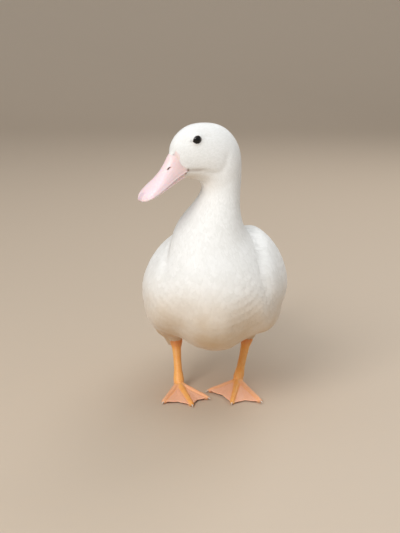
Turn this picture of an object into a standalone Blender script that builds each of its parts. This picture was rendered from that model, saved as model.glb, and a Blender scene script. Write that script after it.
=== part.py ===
"""A white domestic duck, standing with its head turned to its right.

The duck faces -Y, +Z is up and its left side is +X. Constants are in metres, and the tables in millimetres.
Head, neck, trunk and tail are lengths of one loft, so that their outer surfaces run on into each other. The
wings lie on the trunk, the thighs run into it, and bill, eyes, shanks, feet and claws are pieces of their own.
"""

import math

import bmesh
import bpy
from mathutils import Matrix, Vector
from mathutils.bvhtree import BVHTree

MM = 0.001
GAP = 0.3 * MM              # clearance between neighbouring solids

# Body loft
RING_POINTS = 28            # points round each section of the body
RINGS_PER_STATION = 2       # sections between one station and the next
HEAD_TURN = 57.5            # degrees, towards the duck's right
NECK_AXIS_Y = -90.0 * MM    # the neck turns about an upright line at this place
BODY_CUTS = (("head", 0.0, 9.0), ("neck", 9.0, 13.5), ("trunk", 13.5, 23.0), ("tail", 23.0, 26.0))
CUT_MARGIN = 1.15           # share of the clearance left after a cut, since the sections lean
CUTTER_MARGIN = 1.2         # the same for a cutter grown along its normals

# Stations of the body loft, from the face to the tail's tip. Each is the section's upper (dorsal) and lower
# (ventral) point, as distance behind the neck's axis and height, then half width, share of the head's turn,
# sideways shift of the section, where up the section is widest and how square its lower half is.
STATIONS = (
    ("face",       -62.4, 338.0, -45.5, 308.5, 11.8, 1.00,  4.0, 0.42, 2.0),
    ("forehead",   -61.8, 347.0, -40.5, 306.0, 15.8, 1.00,  4.0, 0.40, 2.0),
    ("brow",       -55.0, 357.8, -35.5, 305.0, 18.8, 1.00,  4.0, 0.40, 2.0),
    ("fore_crown", -44.8, 365.8, -31.0, 304.1, 22.0, 1.00,  4.0, 0.42, 2.0),
    ("crown",      -31.5, 370.4, -27.5, 303.3, 24.8, 1.00,  4.0, 0.44, 2.0),
    ("hind_crown", -14.5, 371.0, -24.5, 302.0, 27.0, 1.00,  4.5, 0.46, 2.0),
    ("occiput",      2.0, 367.4, -22.6, 299.9, 28.0, 1.00,  5.5, 0.48, 2.0),
    ("nape_top",    15.5, 357.0, -21.8, 297.1, 28.0, 0.98,  6.5, 0.50, 2.0),
    ("nape",        23.0, 341.5, -21.6, 293.0, 27.2, 0.95,  8.0, 0.50, 2.0),
    ("neck_top",    25.0, 322.0, -22.0, 286.5, 25.8, 0.90,  9.0, 0.50, 2.0),
    ("neck_upper",  25.5, 300.0, -24.4, 276.5, 27.0, 0.78,  7.5, 0.50, 2.0),
    ("neck_mid",    26.5, 280.0, -28.5, 262.0, 32.0, 0.60,  3.0, 0.50, 2.0),
    ("neck_lower",  28.5, 263.0, -35.5, 244.0, 39.2, 0.35, -2.2, 0.50, 2.0),
    ("neck_base",   33.0, 250.0, -44.0, 222.0, 45.6, 0.12, -3.6, 0.50, 2.0),
    ("shoulder",    43.0, 243.0, -54.0, 194.0, 55.0, 0.00,  0.5, 0.49, 2.0),
    ("breast",      61.0, 236.0, -59.0, 162.0, 68.0, 0.00,  1.5, 0.46, 2.0),
    ("keel_front",  84.0, 227.0, -54.0, 129.0, 80.0, 0.00,  0.5, 0.43, 2.1),
    ("keel",       110.0, 216.0, -29.0,  99.0, 88.0, 0.00, -1.0, 0.41, 2.1),
    ("belly_front", 138.0, 203.5,  8.0,  79.0, 90.0, 0.00, -2.0, 0.41, 2.1),
    ("belly",      166.0, 190.0,  56.0,  71.0, 87.0, 0.00, -2.0, 0.43, 2.1),
    ("flank",      192.0, 176.0, 106.0,  74.0, 79.0, 0.00, -1.0, 0.46, 2.1),
    ("rump",       215.0, 165.0, 152.0,  86.0, 68.0, 0.00,  0.0, 0.48, 2.1),
    ("vent",       238.0, 158.0, 192.0, 104.0, 55.0, 0.00,  0.0, 0.50, 2.0),
    ("tail_base",  261.0, 154.5, 226.0, 124.0, 43.0, 0.00,  0.0, 0.54, 2.0),
    ("tail_mid",   284.0, 155.0, 259.0, 140.0, 39.0, 0.00,  0.0, 0.60, 2.0),
    ("tail_hind",  301.0, 158.0, 287.0, 149.5, 33.0, 0.00,  0.0, 0.60, 2.0),
    ("tail_tip",   311.0, 161.0, 307.0, 156.5, 17.0, 0.00,  0.0, 0.60, 2.0),
)

# Hollows of the belly in front of the legs: the stations that they span and their depth, and in shares of the
# section's half width, where each one lies and how far it spreads
HOLLOW_SPAN = (15.2, 21.0)
HOLLOW_DEPTH = 13.0 * MM
HOLLOWS = {"left": (0.56, 0.20), "right": (0.49, 0.25)}

# Head: places are given forward of the eyes, to the head's left and up from them
EYE_HEIGHT = 353.5 * MM
EYE_FORWARD = 37.5 * MM     # from the neck's axis
HEAD_SHIFT = 4.0 * MM       # the head's midplane from the body's, at the neck's axis
EYE_RADIUS = 6.2 * MM
EYE_LATERAL = 16.4 * MM     # eyeball's centre from the head's midplane

# Bill: u runs along it from the gape, v up from its edge
BILL_PITCH = 30.0           # degrees below level
GAPE_FORWARD = 9.0 * MM     # of the eyes
GAPE_BELOW_EYES = 38.0 * MM
ARCH_POINTS = 15            # points of a section's arch
EDGE_POINTS = (-0.66, -0.33, 0.0, 0.33, 0.66)   # points of its flat side, in shares of the half width
LOWER_SQUARENESS = 2.2
# u, half width, height of the ridge, squareness of the section
UPPER_BILL = (
    (3.1, 12.0, 28.2, 2.0), (8.0, 12.0, 25.8, 2.0), (15.0, 11.8, 21.3, 2.0), (24.0, 13.1, 16.3, 2.1),
    (35.0, 15.2, 12.4, 2.3), (45.0, 16.8, 10.2, 2.5), (53.0, 16.7, 7.9, 2.6), (59.0, 14.2, 5.9, 2.6),
    (62.6, 9.8, 4.1, 2.4), (64.4, 5.0, 2.6, 2.2),
)
# u, half width, depth below the edge
LOWER_BILL = (
    (3.1, 9.8, 7.2), (12.0, 10.2, 6.8), (24.0, 11.3, 6.0), (35.0, 13.0, 5.2), (46.0, 14.4, 4.2),
    (54.0, 13.8, 2.9), (59.0, 10.4, 2.0), (61.6, 5.0, 1.2),
)
NOSTRIL_PLACE = (16.5, 8.6, 14.6)       # u, to the side, v
NOSTRIL_SIZE = (3.4, 2.2, 1.3)

# Wings: y, lowest and highest angle about the trunk's middle, and thickness at mid height
WING_SPANS = (
    (-114.0, 6.0, 26.0, 4.0), (-98.0, -4.0, 46.0, 7.0), (-70.0, -9.0, 60.0, 10.0), (-40.0, -12.0, 65.0, 11.0),
    (0.0, -14.0, 65.0, 11.0),
    (40.0, -12.0, 62.0, 11.0), (80.0, -6.0, 62.0, 10.0), (115.0, 4.0, 62.0, 8.0), (140.0, 14.0, 58.0, 6.5),
    (160.0, 24.0, 52.0, 4.5),
)
WING_EDGE = 2.2             # thickness along the edges
WING_LIFT = {"left": 5.5, "right": -2.0}    # thickness added at the top of the shoulder
WING_FULLNESS = {"left": 1.0, "right": 0.65}    # share of the table's thickness
WING_ROWS = 12              # points up the wing
WING_ARCH = 0.6             # the lower, the sooner the thickness grows from the edge
LIFT_START = 0.12           # where along the wing the lift at its top begins and how fast it passes
LIFT_PACE = 1.5
WING_SEAT = 1.5             # how deep the wing's blank starts inside the trunk, before it is cut back

# Legs: (x, y, z) of the joints, and the radii of the limb
LEGS = {
    "right": {"knee": (-61.0, -10.0, 116.0), "hock": (-55.0, 20.0, 65.0), "ankle": (-49.0, -9.0, 10.5)},
    "left": {"knee": (48.0, 4.0, 116.0), "hock": (43.5, 38.0, 64.0), "ankle": (31.5, 8.0, 10.5)},
}
THIGH_RADII = (32.0, 28.5, 19.5, 10.4)
THIGH_PLACES = (0.0, 0.36, 0.66, 0.85)
THIGH_SIDES = 20
SHANK_RADII = (7.4, 8.8, 8.8, 6.2, 5.4, 5.6, 7.4, 7.6)
SHANK_PLACES = (-0.10, -0.02, 0.10, 0.26, 0.50, 0.74, 0.94, 1.04)
SHANK_SIDES = 14

# Feet: tips of the toes' flesh and the radii of a toe
TOE_TIPS = {
    "right": {"outer": (-65.5, -66.0), "middle": (-27.0, -73.5), "inner": (-6.5, -48.5), "hind": (-45.5, 8.0)},
    "left": {"outer": (62.5, -56.5), "middle": (24.5, -63.5), "inner": (-9.0, -22.0), "hind": (30.0, 26.0)},
}
TOE_RADII = (6.0, 4.7, 4.0, 3.5)
HIND_TOE_RADII = (3.6, 3.2, 2.8, 2.4)
TOE_PLACES = (-0.03, 0.32, 0.66, 1.0)
TOE_SIDES = 12
HUB_RADIUS = 7.3 * MM
HUB_BOTTOM = -1.0 * MM      # the pad under the ankle is cut off flat at the ground
HUB_SIDES = 16
ANKLE_TOP = 13.3 * MM       # the foot ends level here, and the shank begins
TOE_START = 7.0 * MM        # height of a toe's middle at the foot's hub
TOE_END = 2.8 * MM          # and at its tip
HIND_TOE_END = 4.6 * MM
WEB_THICKNESS = 1.8 * MM    # at its edge
WEB_ROOT = 9.5 * MM         # height of its upper side at the ankle
WEB_SINK = 0.5 * MM         # how far the web's blank starts below the ground, where it is cut off
WEB_DIP = 0.86              # how far out the web's edge reaches between two toes
WEB_CURVE = 0.6             # where between toe and dip the edge has a further point
SLAB_WIDTH = 0.5            # the slab that cuts pieces off at a level
SLAB_HEIGHT = 0.1
CLAW_GAP = 1.5 * GAP        # along the toe
CLAW_SIDES = 10
CLAW_LENGTH = 6.0 * MM
CLAW_RADIUS = 1.9 * MM
CLAW_BEND = ((0.0, 0.0), (0.4, 0.0), (0.8, 0.6), (1.0, 1.3))    # share of the length, drop in mm
CLAW_TAPER = (1.0, 0.85, 0.45, 0.15)

MATERIALS = {
    "plumage": ((0.90, 0.89, 0.85, 1.0), 0.80),
    "bill_horn": ((0.90, 0.66, 0.64, 1.0), 0.42),
    "leg_skin": ((0.80, 0.36, 0.12, 1.0), 0.50),
    "claw_horn": ((0.80, 0.74, 0.66, 1.0), 0.40),
    "eye": ((0.012, 0.010, 0.010, 1.0), 0.06),
}


def catmull_rom(a, b, c, d, t):
    """Value at t between b and c of the smooth curve through a, b, c, d."""
    return 0.5 * (
        2 * b + (c - a) * t + (2 * a - 5 * b + 4 * c - d) * t * t + (3 * b - a - 3 * c + d) * t ** 3
    )


def along(rows, place):
    """The row of numbers at a place, counted in rows, on the smooth curve through all rows."""
    last = len(rows) - 1
    i = min(int(place), last - 1)
    near = [rows[min(max(i + k, 0), last)] for k in (-1, 0, 1, 2)]
    return [catmull_rom(*four, place - i) for four in zip(*near)]


def steps(first, last, count):
    """Evenly spaced numbers from first to last, both included."""
    return [first + (last - first) * i / (count - 1) for i in range(count)]


def new_collection(name, parent):
    """A collection inside another."""
    collection = bpy.data.collections.new(name)
    parent.children.link(collection)
    return collection


def make_material(name):
    """A Principled material from the table."""
    colour, roughness = MATERIALS[name]
    material = bpy.data.materials.new(name)
    material.use_nodes = True
    shader = material.node_tree.nodes["Principled BSDF"]
    shader.inputs["Base Color"].default_value = colour
    shader.inputs["Roughness"].default_value = roughness
    material.diffuse_color = colour
    return material


def loft(rings):
    """A bmesh of a closed tube through rings with equal numbers of points, its ends closed."""
    mesh = bmesh.new()
    loops = [[mesh.verts.new(point) for point in ring] for ring in rings]
    count = len(rings[0])
    for near, far in zip(loops, loops[1:]):
        for k in range(count):
            mesh.faces.new((near[k], near[(k + 1) % count], far[(k + 1) % count], far[k]))
    mesh.faces.new(loops[0])
    mesh.faces.new(loops[-1])
    bmesh.ops.recalc_face_normals(mesh, faces=mesh.faces)
    return mesh


def add_piece(name, mesh, material, collection):
    """An object made from a bmesh, shaded smooth."""
    data = bpy.data.meshes.new(name)
    mesh.to_mesh(data)
    mesh.free()
    data.materials.append(bpy.data.materials.get(material) or make_material(material))
    data.shade_smooth()
    data.set_sharp_from_angle(angle=math.radians(40))
    piece = bpy.data.objects.new(name, data)
    collection.objects.link(piece)
    return piece


def add_cutter(name, mesh, collection):
    """An object that only cuts or joins others."""
    data = bpy.data.meshes.new(name)
    mesh.to_mesh(data)
    mesh.free()
    cutter = bpy.data.objects.new(name, data)
    cutter.hide_render = True
    cutter.display_type = "WIRE"
    collection.objects.link(cutter)
    return cutter


def boolean(piece, other, operation, solver="EXACT"):
    """A live Boolean on a piece."""
    modifier = piece.modifiers.new(operation.lower() + "_" + other.name, "BOOLEAN")
    modifier.operation = operation
    modifier.solver = solver
    modifier.object = other


def grown(mesh, distance):
    """A copy of a closed bmesh, moved out along its normals."""
    copy = mesh.copy()
    copy.normal_update()
    moves = [vertex.normal * distance for vertex in copy.verts]
    for vertex, move in zip(copy.verts, moves):
        vertex.co += move
    return copy


def squared(angle, power):
    """Cosine and sine of an angle on a circle made squarer as power goes above 2."""
    return [math.copysign(abs(value) ** (2 / power), value) for value in (math.cos(angle), math.sin(angle))]


def body_ring(place):
    """The points of one section of the body, at a place counted in stations."""
    ds, dz, vs, vz, width, turn, shift, widest, square = along([row[1:] for row in STATIONS], place)
    dorsal = Vector((0, ds, dz)) * MM
    ventral = Vector((0, vs, vz)) * MM
    centre = ventral.lerp(dorsal, widest)
    first, last = HOLLOW_SPAN
    depth = HOLLOW_DEPTH * math.sin(math.pi * min(1, max(0, (place - first) / (last - first)))) ** 0.5
    turned = Matrix.Rotation(math.radians(-HEAD_TURN * turn), 4, "Z")
    moved = Matrix.Translation((shift * MM, NECK_AXIS_Y, 0)) @ turned
    ring = []
    for k in range(RING_POINTS):
        angle = 2 * math.pi * k / RING_POINTS
        above = math.sin(angle) > 0
        height = dorsal - centre if above else centre - ventral
        across, up = squared(angle, 2 if above else square)
        point = centre + Vector((width * MM * across, 0, 0)) + height * up
        if not above:
            centred, spread = HOLLOWS["left" if across > 0 else "right"]
            point += height.normalized() * depth * math.exp(-((abs(across) - centred) / spread) ** 2)
        ring.append(moved @ point)
    return ring


def cut_step(place):
    """How far along the stations the clearance after a cut reaches, where the sections lie closest."""
    probe = 0.05            # stations
    near, far = body_ring(place), body_ring(place + probe)
    return probe * CUT_MARGIN * GAP / min((a - b).length for a, b in zip(near, far))


def body_length(first, last):
    """The closed loft between two places, opened by the clearance at its start."""
    start = first + cut_step(first) if first else first
    count = max(2, round((last - first) * RINGS_PER_STATION) + 1)
    return loft([body_ring(place) for place in steps(start, last, count)])


def head_point(forward, lateral, up):
    """The place of a point given forward of the eyes, to the head's left and above them."""
    turned = Matrix.Rotation(math.radians(-HEAD_TURN), 4, "Z")
    at_rest = Vector((lateral, -EYE_FORWARD - forward, EYE_HEIGHT + up))
    return Matrix.Translation((HEAD_SHIFT, NECK_AXIS_Y, 0)) @ turned @ at_rest


def bill_point(u, lateral, v):
    """The place of a point along the bill (u), to its left and above its edge, all in mm."""
    pitch = math.radians(BILL_PITCH)
    forward = GAPE_FORWARD + (u * math.cos(pitch) + v * math.sin(pitch)) * MM
    up = -GAPE_BELOW_EYES + (v * math.cos(pitch) - u * math.sin(pitch)) * MM
    return head_point(forward, lateral * MM, up)


def half_section(u, width, height, square, start):
    """A section of the bill: an arch over its flat side at v = start, or under it where height is negative."""
    arch = []
    for angle in steps(0, math.pi, ARCH_POINTS):
        across, up = squared(angle, square)
        arch.append(bill_point(u, width * across, start + height * up))
    flat = [bill_point(u, width * share, start) for share in EDGE_POINTS]
    return arch + flat


def make_bill(parts, cutters):
    """The two halves of the bill, with nostrils sunk in the upper one."""
    upper = loft([half_section(*row, start=0.0) for row in UPPER_BILL])
    bill = add_piece("bill_upper", upper, "bill_horn", parts)
    u, side, v = NOSTRIL_PLACE
    for name, sign in (("left", 1), ("right", -1)):
        ball = bmesh.new()
        bmesh.ops.create_uvsphere(ball, u_segments=12, v_segments=8, radius=1.0)
        along_bill = bill_point(u + 1, side * sign, v) - bill_point(u, side * sign, v)
        across_bill = bill_point(u, side * sign + 1, v) - bill_point(u, side * sign, v)
        up_bill = bill_point(u, side * sign, v + 1) - bill_point(u, side * sign, v)
        sizes = [axis * size for axis, size in zip((along_bill, across_bill, up_bill), NOSTRIL_SIZE)]
        frame = Matrix(sizes).transposed().to_4x4()
        frame.translation = bill_point(u, side * sign, v)
        ball.transform(frame)
        boolean(bill, add_cutter("nostril_" + name, ball, cutters), "DIFFERENCE")
    lower = loft([
        half_section(u, width, -depth, LOWER_SQUARENESS, start=-GAP / MM) for u, width, depth in LOWER_BILL
    ])
    add_piece("bill_lower", lower, "bill_horn", parts)


def make_body(parts, cutters):
    """Head, neck, trunk and tail, with sockets for the eyes; returns the trunk's mesh."""
    for name, first, last in BODY_CUTS:
        piece = add_piece(name, body_length(first, last), "plumage", parts)
        if name == "head":
            make_eyes(piece, parts, cutters)
    return body_length(*BODY_CUTS[2][1:])


def make_eyes(head, parts, cutters):
    """The eyeballs, each in a socket with a clearance round it."""
    for name, sign in (("left", 1), ("right", -1)):
        place = Matrix.Translation(head_point(0, sign * EYE_LATERAL, 0))
        for radius, is_socket in ((EYE_RADIUS, False), (EYE_RADIUS + GAP, True)):
            ball = bmesh.new()
            bmesh.ops.create_icosphere(ball, subdivisions=3 if is_socket else 2, radius=radius, matrix=place)
            if is_socket:
                boolean(head, add_cutter("socket_" + name, ball, cutters), "DIFFERENCE")
            else:
                add_piece("eye_" + name, ball, "eye", parts)


def middle(surface, y):
    """The point half way up a closed surface on the body's midplane."""
    far = 1.0
    top = surface.ray_cast(Vector((0, y, far)), Vector((0, 0, -1)))[0]
    bottom = surface.ray_cast(Vector((0, y, -far)), Vector((0, 0, 1)))[0]
    return (top + bottom) / 2


def make_wing(side, trunk, parts, cutters):
    """A folded wing: a blank laid over the trunk's side, cut back to lie on it."""
    sign = 1 if side == "left" else -1
    surface = BVHTree.FromBMesh(trunk)
    rings = []
    last = len(WING_SPANS) - 1
    for place in steps(0, last, 2 * last + 1):
        y, low, high, thick = along(WING_SPANS, place)
        lift = WING_LIFT[side] * math.sin(math.pi * min(1, place / last * LIFT_PACE + LIFT_START)) ** 2
        axis = middle(surface, y * MM)
        inner, outer = [], []
        for share in steps(0, 1, WING_ROWS):
            angle = math.radians(low + (high - low) * share)
            ray = Vector((sign * math.cos(angle), 0, math.sin(angle)))
            reach = surface.ray_cast(axis, ray)[3]
            arch = math.sin(math.pi * share) ** WING_ARCH
            bulge = WING_EDGE + (thick - WING_EDGE) * arch * WING_FULLNESS[side] + lift * share
            inner.append(axis + ray * (reach - WING_SEAT * MM))
            outer.append(axis + ray * (reach + bulge * MM))
        rings.append(outer + inner[::-1])
    wing = add_piece("wing_" + side, loft(rings), "plumage", parts)
    cutter = add_cutter("trunk_round_wing_" + side, grown(trunk, GAP * CUTTER_MARGIN), cutters)
    boolean(wing, cutter, "DIFFERENCE")


def limb(points, radii, sides):
    """A tapering round limb through points, as a bmesh."""
    rings = []
    for i, (point, radius) in enumerate(zip(points, radii)):
        before, after = points[max(i - 1, 0)], points[min(i + 1, len(points) - 1)]
        turn = (after - before).to_track_quat("Z", "Y")
        rings.append([
            point + turn @ Vector((math.cos(a) * radius, math.sin(a) * radius, 0))
            for a in steps(0, 2 * math.pi, sides + 1)[:-1]
        ])
    return loft(rings)


def scaled(values):
    """Numbers in millimetres as metres."""
    return [value * MM for value in values]


def make_leg(side, trunk, parts, cutters):
    """The feathered thigh, cut back from the trunk, and the bare shank under it."""
    knee, hock, ankle = (Vector(scaled(LEGS[side][name])) for name in ("knee", "hock", "ankle"))
    thigh_line = [knee.lerp(hock, share) for share in THIGH_PLACES]
    thigh = add_piece("thigh_" + side, limb(thigh_line, scaled(THIGH_RADII), THIGH_SIDES), "plumage", parts)
    shank_line = [hock.lerp(ankle, share) for share in SHANK_PLACES]
    shank_blank = limb(shank_line, scaled(SHANK_RADII), SHANK_SIDES)
    for name, around in (("trunk", trunk), ("shank", shank_blank)):
        cutter = add_cutter(name + "_round_thigh_" + side, grown(around, GAP * CUTTER_MARGIN), cutters)
        boolean(thigh, cutter, "DIFFERENCE")
    shank = add_piece("shank_" + side, shank_blank, "leg_skin", parts)
    boolean(shank, ground(ANKLE_TOP + GAP, "below_shank_" + side, cutters), "DIFFERENCE")


def ground(top, name, cutters):
    """A slab under a level, that cuts a piece off flat."""
    slab = bmesh.new()
    bmesh.ops.create_cube(slab, size=1.0, matrix=Matrix.Diagonal((SLAB_WIDTH, SLAB_WIDTH, SLAB_HEIGHT, 1.0)))
    bmesh.ops.translate(slab, verts=slab.verts, vec=(0, 0, top - SLAB_HEIGHT / 2))
    return add_cutter(name, slab, cutters)


def make_web(ankle, tips):
    """The web between the three front toes, from under the ground up to a surface that rises to the ankle."""
    web = bmesh.new()
    root = Vector((ankle.x, ankle.y, 0))
    front = [tips["outer"], tips["middle"], tips["inner"]]
    outline = [root]
    for near, far in zip(front, front[1:]):
        dip = root.lerp(near.lerp(far, 0.5), WEB_DIP)
        outline += [near, near.lerp(dip, WEB_CURVE), dip, far.lerp(dip, WEB_CURVE)]
    outline.append(front[-1])
    count = len(outline)
    under = [web.verts.new(point - Vector((0, 0, WEB_SINK))) for point in outline]
    heights = [WEB_ROOT] + [WEB_THICKNESS] * (count - 1)
    above = [web.verts.new(point + Vector((0, 0, height))) for point, height in zip(outline, heights)]
    web.faces.new(under)
    for k in range(count):
        after = (k + 1) % count
        web.faces.new((under[k], under[after], above[after], above[k]))
    for k in range(1, count - 1):
        web.faces.new((above[0], above[k], above[k + 1]))
    bmesh.ops.recalc_face_normals(web, faces=web.faces)
    return web


def make_foot(side, parts, cutters):
    """Toes joined by a web, flat underneath, and a claw ahead of each toe."""
    ankle = Vector(scaled(LEGS[side]["ankle"]))
    tips = {name: Vector((x * MM, y * MM, 0)) for name, (x, y) in TOE_TIPS[side].items()}
    hub = [Vector((ankle.x, ankle.y, height)) for height in (HUB_BOTTOM, ANKLE_TOP)]
    blanks = [limb(hub, [HUB_RADIUS, HUB_RADIUS], HUB_SIDES)]
    for name, tip in tips.items():
        radii = scaled(HIND_TOE_RADII if name == "hind" else TOE_RADII)
        start = Vector((ankle.x, ankle.y, TOE_START))
        end = Vector((tip.x, tip.y, HIND_TOE_END if name == "hind" else TOE_END))
        blanks.append(limb([start.lerp(end, share) for share in TOE_PLACES], radii, TOE_SIDES))
        heading = (end - start).normalized()
        base = end + heading * CLAW_GAP
        claw_line = [
            base + heading * CLAW_LENGTH * share - Vector((0, 0, drop * MM)) for share, drop in CLAW_BEND
        ]
        claw = limb(claw_line, [CLAW_RADIUS * share for share in CLAW_TAPER], CLAW_SIDES)
        add_piece("claw_" + side + "_" + name, claw, "claw_horn", parts)
    foot = add_piece("foot_" + side, make_web(ankle, tips), "leg_skin", parts)
    for number, blank in enumerate(blanks):
        cutter = add_cutter("toe_%s_%d" % (side, number), blank, cutters)
        boolean(foot, cutter, "UNION", solver="MANIFOLD")
    boolean(foot, ground(0, "below_foot_" + side, cutters), "DIFFERENCE", solver="MANIFOLD")


def centre(parts, cutters):
    """Moves everything so that the model's box stands centred on the origin."""
    bpy.context.view_layer.update()
    graph = bpy.context.evaluated_depsgraph_get()
    points = []
    for part in parts.objects:
        evaluated = part.evaluated_get(graph)
        points += [vertex.co.copy() for vertex in evaluated.to_mesh().vertices]
        evaluated.to_mesh_clear()
    low, high = ([pick(point[axis] for point in points) for axis in range(3)] for pick in (min, max))
    shift = Vector((-(low[0] + high[0]) / 2, -(low[1] + high[1]) / 2, -low[2]))
    for item in list(parts.objects) + list(cutters.objects):
        item.location += shift


def main():
    """Builds every part."""
    for item in list(bpy.data.objects):
        bpy.data.objects.remove(item)
    parts = new_collection("domestic_duck", bpy.context.scene.collection)
    cutters = new_collection("cutters", bpy.context.scene.collection)
    trunk = make_body(parts, cutters)
    make_bill(parts, cutters)
    for side in ("left", "right"):
        make_wing(side, trunk, parts, cutters)
        make_leg(side, trunk, parts, cutters)
        make_foot(side, parts, cutters)
    trunk.free()
    centre(parts, cutters)


main()
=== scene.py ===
"""A standing white domestic duck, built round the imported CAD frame, with its plumage and its stage."""

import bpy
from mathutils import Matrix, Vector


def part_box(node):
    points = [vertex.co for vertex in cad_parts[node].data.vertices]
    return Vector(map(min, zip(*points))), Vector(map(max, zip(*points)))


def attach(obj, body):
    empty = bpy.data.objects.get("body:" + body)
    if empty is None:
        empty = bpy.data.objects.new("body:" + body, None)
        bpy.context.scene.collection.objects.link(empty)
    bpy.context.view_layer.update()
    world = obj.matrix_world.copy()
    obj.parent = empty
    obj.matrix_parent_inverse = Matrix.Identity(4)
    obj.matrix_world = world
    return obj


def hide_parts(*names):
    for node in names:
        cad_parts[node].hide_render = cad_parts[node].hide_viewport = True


bl_info = {
    "name": "White domestic duck",
    "version": (1, 0, 0),
    "blender": (4, 5, 0),
    "location": "View3D > Sidebar > Duck",
    "description": "Builds the skin, plumage, bill, eyes, claws and stage of a standing white duck",
    "category": "Object",
}

import math

import bpy
import numpy as np
from mathutils import Matrix, Vector
from mathutils.bvhtree import BVHTree

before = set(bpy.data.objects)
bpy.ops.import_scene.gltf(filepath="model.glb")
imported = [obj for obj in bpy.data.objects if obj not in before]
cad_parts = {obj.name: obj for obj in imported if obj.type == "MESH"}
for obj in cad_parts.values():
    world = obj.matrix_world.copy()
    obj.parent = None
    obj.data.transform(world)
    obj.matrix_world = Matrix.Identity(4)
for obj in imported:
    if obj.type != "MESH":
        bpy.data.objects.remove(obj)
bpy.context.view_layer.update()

MM = 0.001
MERGED = 1e-6               # points closer to each other than this become one, metres
SIDES = {"left": 1, "right": -1}
UP = Vector((0, 0, 1))


def middle_of(node):
    """The middle of a CAD node's box."""
    low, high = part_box(node)
    return (low + high) / 2


# The head's own frame: its origin lies between the eyes
EYES = {side: middle_of("eye_" + side) for side in SIDES}
EYE_RADIUS = (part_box("eye_left")[1].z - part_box("eye_left")[0].z) / 2
# The face's folds: forward and up from the eyes, depth and width in millimetres, from one end to the other
FACE_FOLDS = (
    (   # round the cheek
        (11, -36, 0.0, 2.0), (8, -36.2, 1.2, 2.2), (0, -36.8, 1.3, 2.4), (-8, -37.8, 1.1, 2.8),
        (-20, -40.3, 0.9, 3.4), (-28, -39.5, 0.85, 3.8), (-33, -31, 0.9, 4.2), (-36, -20, 0.75, 4.4),
        (-40, -9.7, 0.0, 4.0),
    ),
    ((18, -4.5, 0.0, 2.5), (13.5, -3.8, 0.5, 2.8), (11, -3.2, 0.0, 2.0)),       # before the eye
    ((-8, 3.2, 0.2, 1.6), (-15, 3.1, 0.55, 2.2), (-25, 2.9, 0.0, 2.2)),         # behind the eye
)
EYE_OPENING = (5.0 * MM, 4.4 * MM)                  # half the width and height between the lids
EYE_SLANT = 0.35                                    # the opening's front corner lies lower, radians
EYE_CORNER = 0.4 * MM                               # how far that corner is drawn out
EYE_REACH = 1.5 * EYE_RADIUS                        # nothing further from an eye's middle lies on the eye
LID_RADIUS = EYE_RADIUS + 0.50 * MM                 # how far from an eye's middle its feathered lids lie
LID_BLEND = (8.0, 13.0)                             # the head is evened round an eye to here, millimetres
LID_BACK = math.radians(112)                        # the lids reach back to here inside the head
OFF_EYE = 9.0                                       # stands for a place well outside an eye's opening
EYE_MIDDLE = (EYES["left"] + EYES["right"]) / 2
HEAD_LEFT = (EYES["left"] - EYES["right"]).normalized()
HEAD_FRONT = HEAD_LEFT.cross(UP)
HEAD_TURN = math.atan2(HEAD_LEFT.y, HEAD_LEFT.x)
NECK_AXIS = EYE_MIDDLE - HEAD_FRONT * 37.5 * MM     # upright line that the neck turns about
BODY_MIDDLE = NECK_AXIS.x - 4.0 * MM

# The bill's own directions: along it from the gape (u) and up from its edge (v)
BILL_PITCH = math.radians(30)
GAPE = EYE_MIDDLE + HEAD_FRONT * 9.0 * MM - UP * 38.0 * MM
BILL_ALONG = HEAD_FRONT * math.cos(BILL_PITCH) - UP * math.sin(BILL_PITCH)
BILL_UP = HEAD_FRONT * math.sin(BILL_PITCH) + UP * math.cos(BILL_PITCH)
# The feathers' edge on the bill's sides: heights, and how far along the bill it lies there, in millimetres
BILL_EDGE = (
    (-8, -2, 0.5, 3, 8, 12, 16, 19, 22, 28),
    (7.5, 4.0, -0.8, -0.8, 1.4, 3.0, 2.6, 0.8, -0.9, -0.9),
)
BILL_EDGE_ON_TOP = 7.8      # the same on its ridge
NAIL_MIDDLE = 60.5          # along the bill to the middle of its nail
NOSTRIL = (16.6, 15.4)      # a nostril's place along the bill and up from its edge

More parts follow.
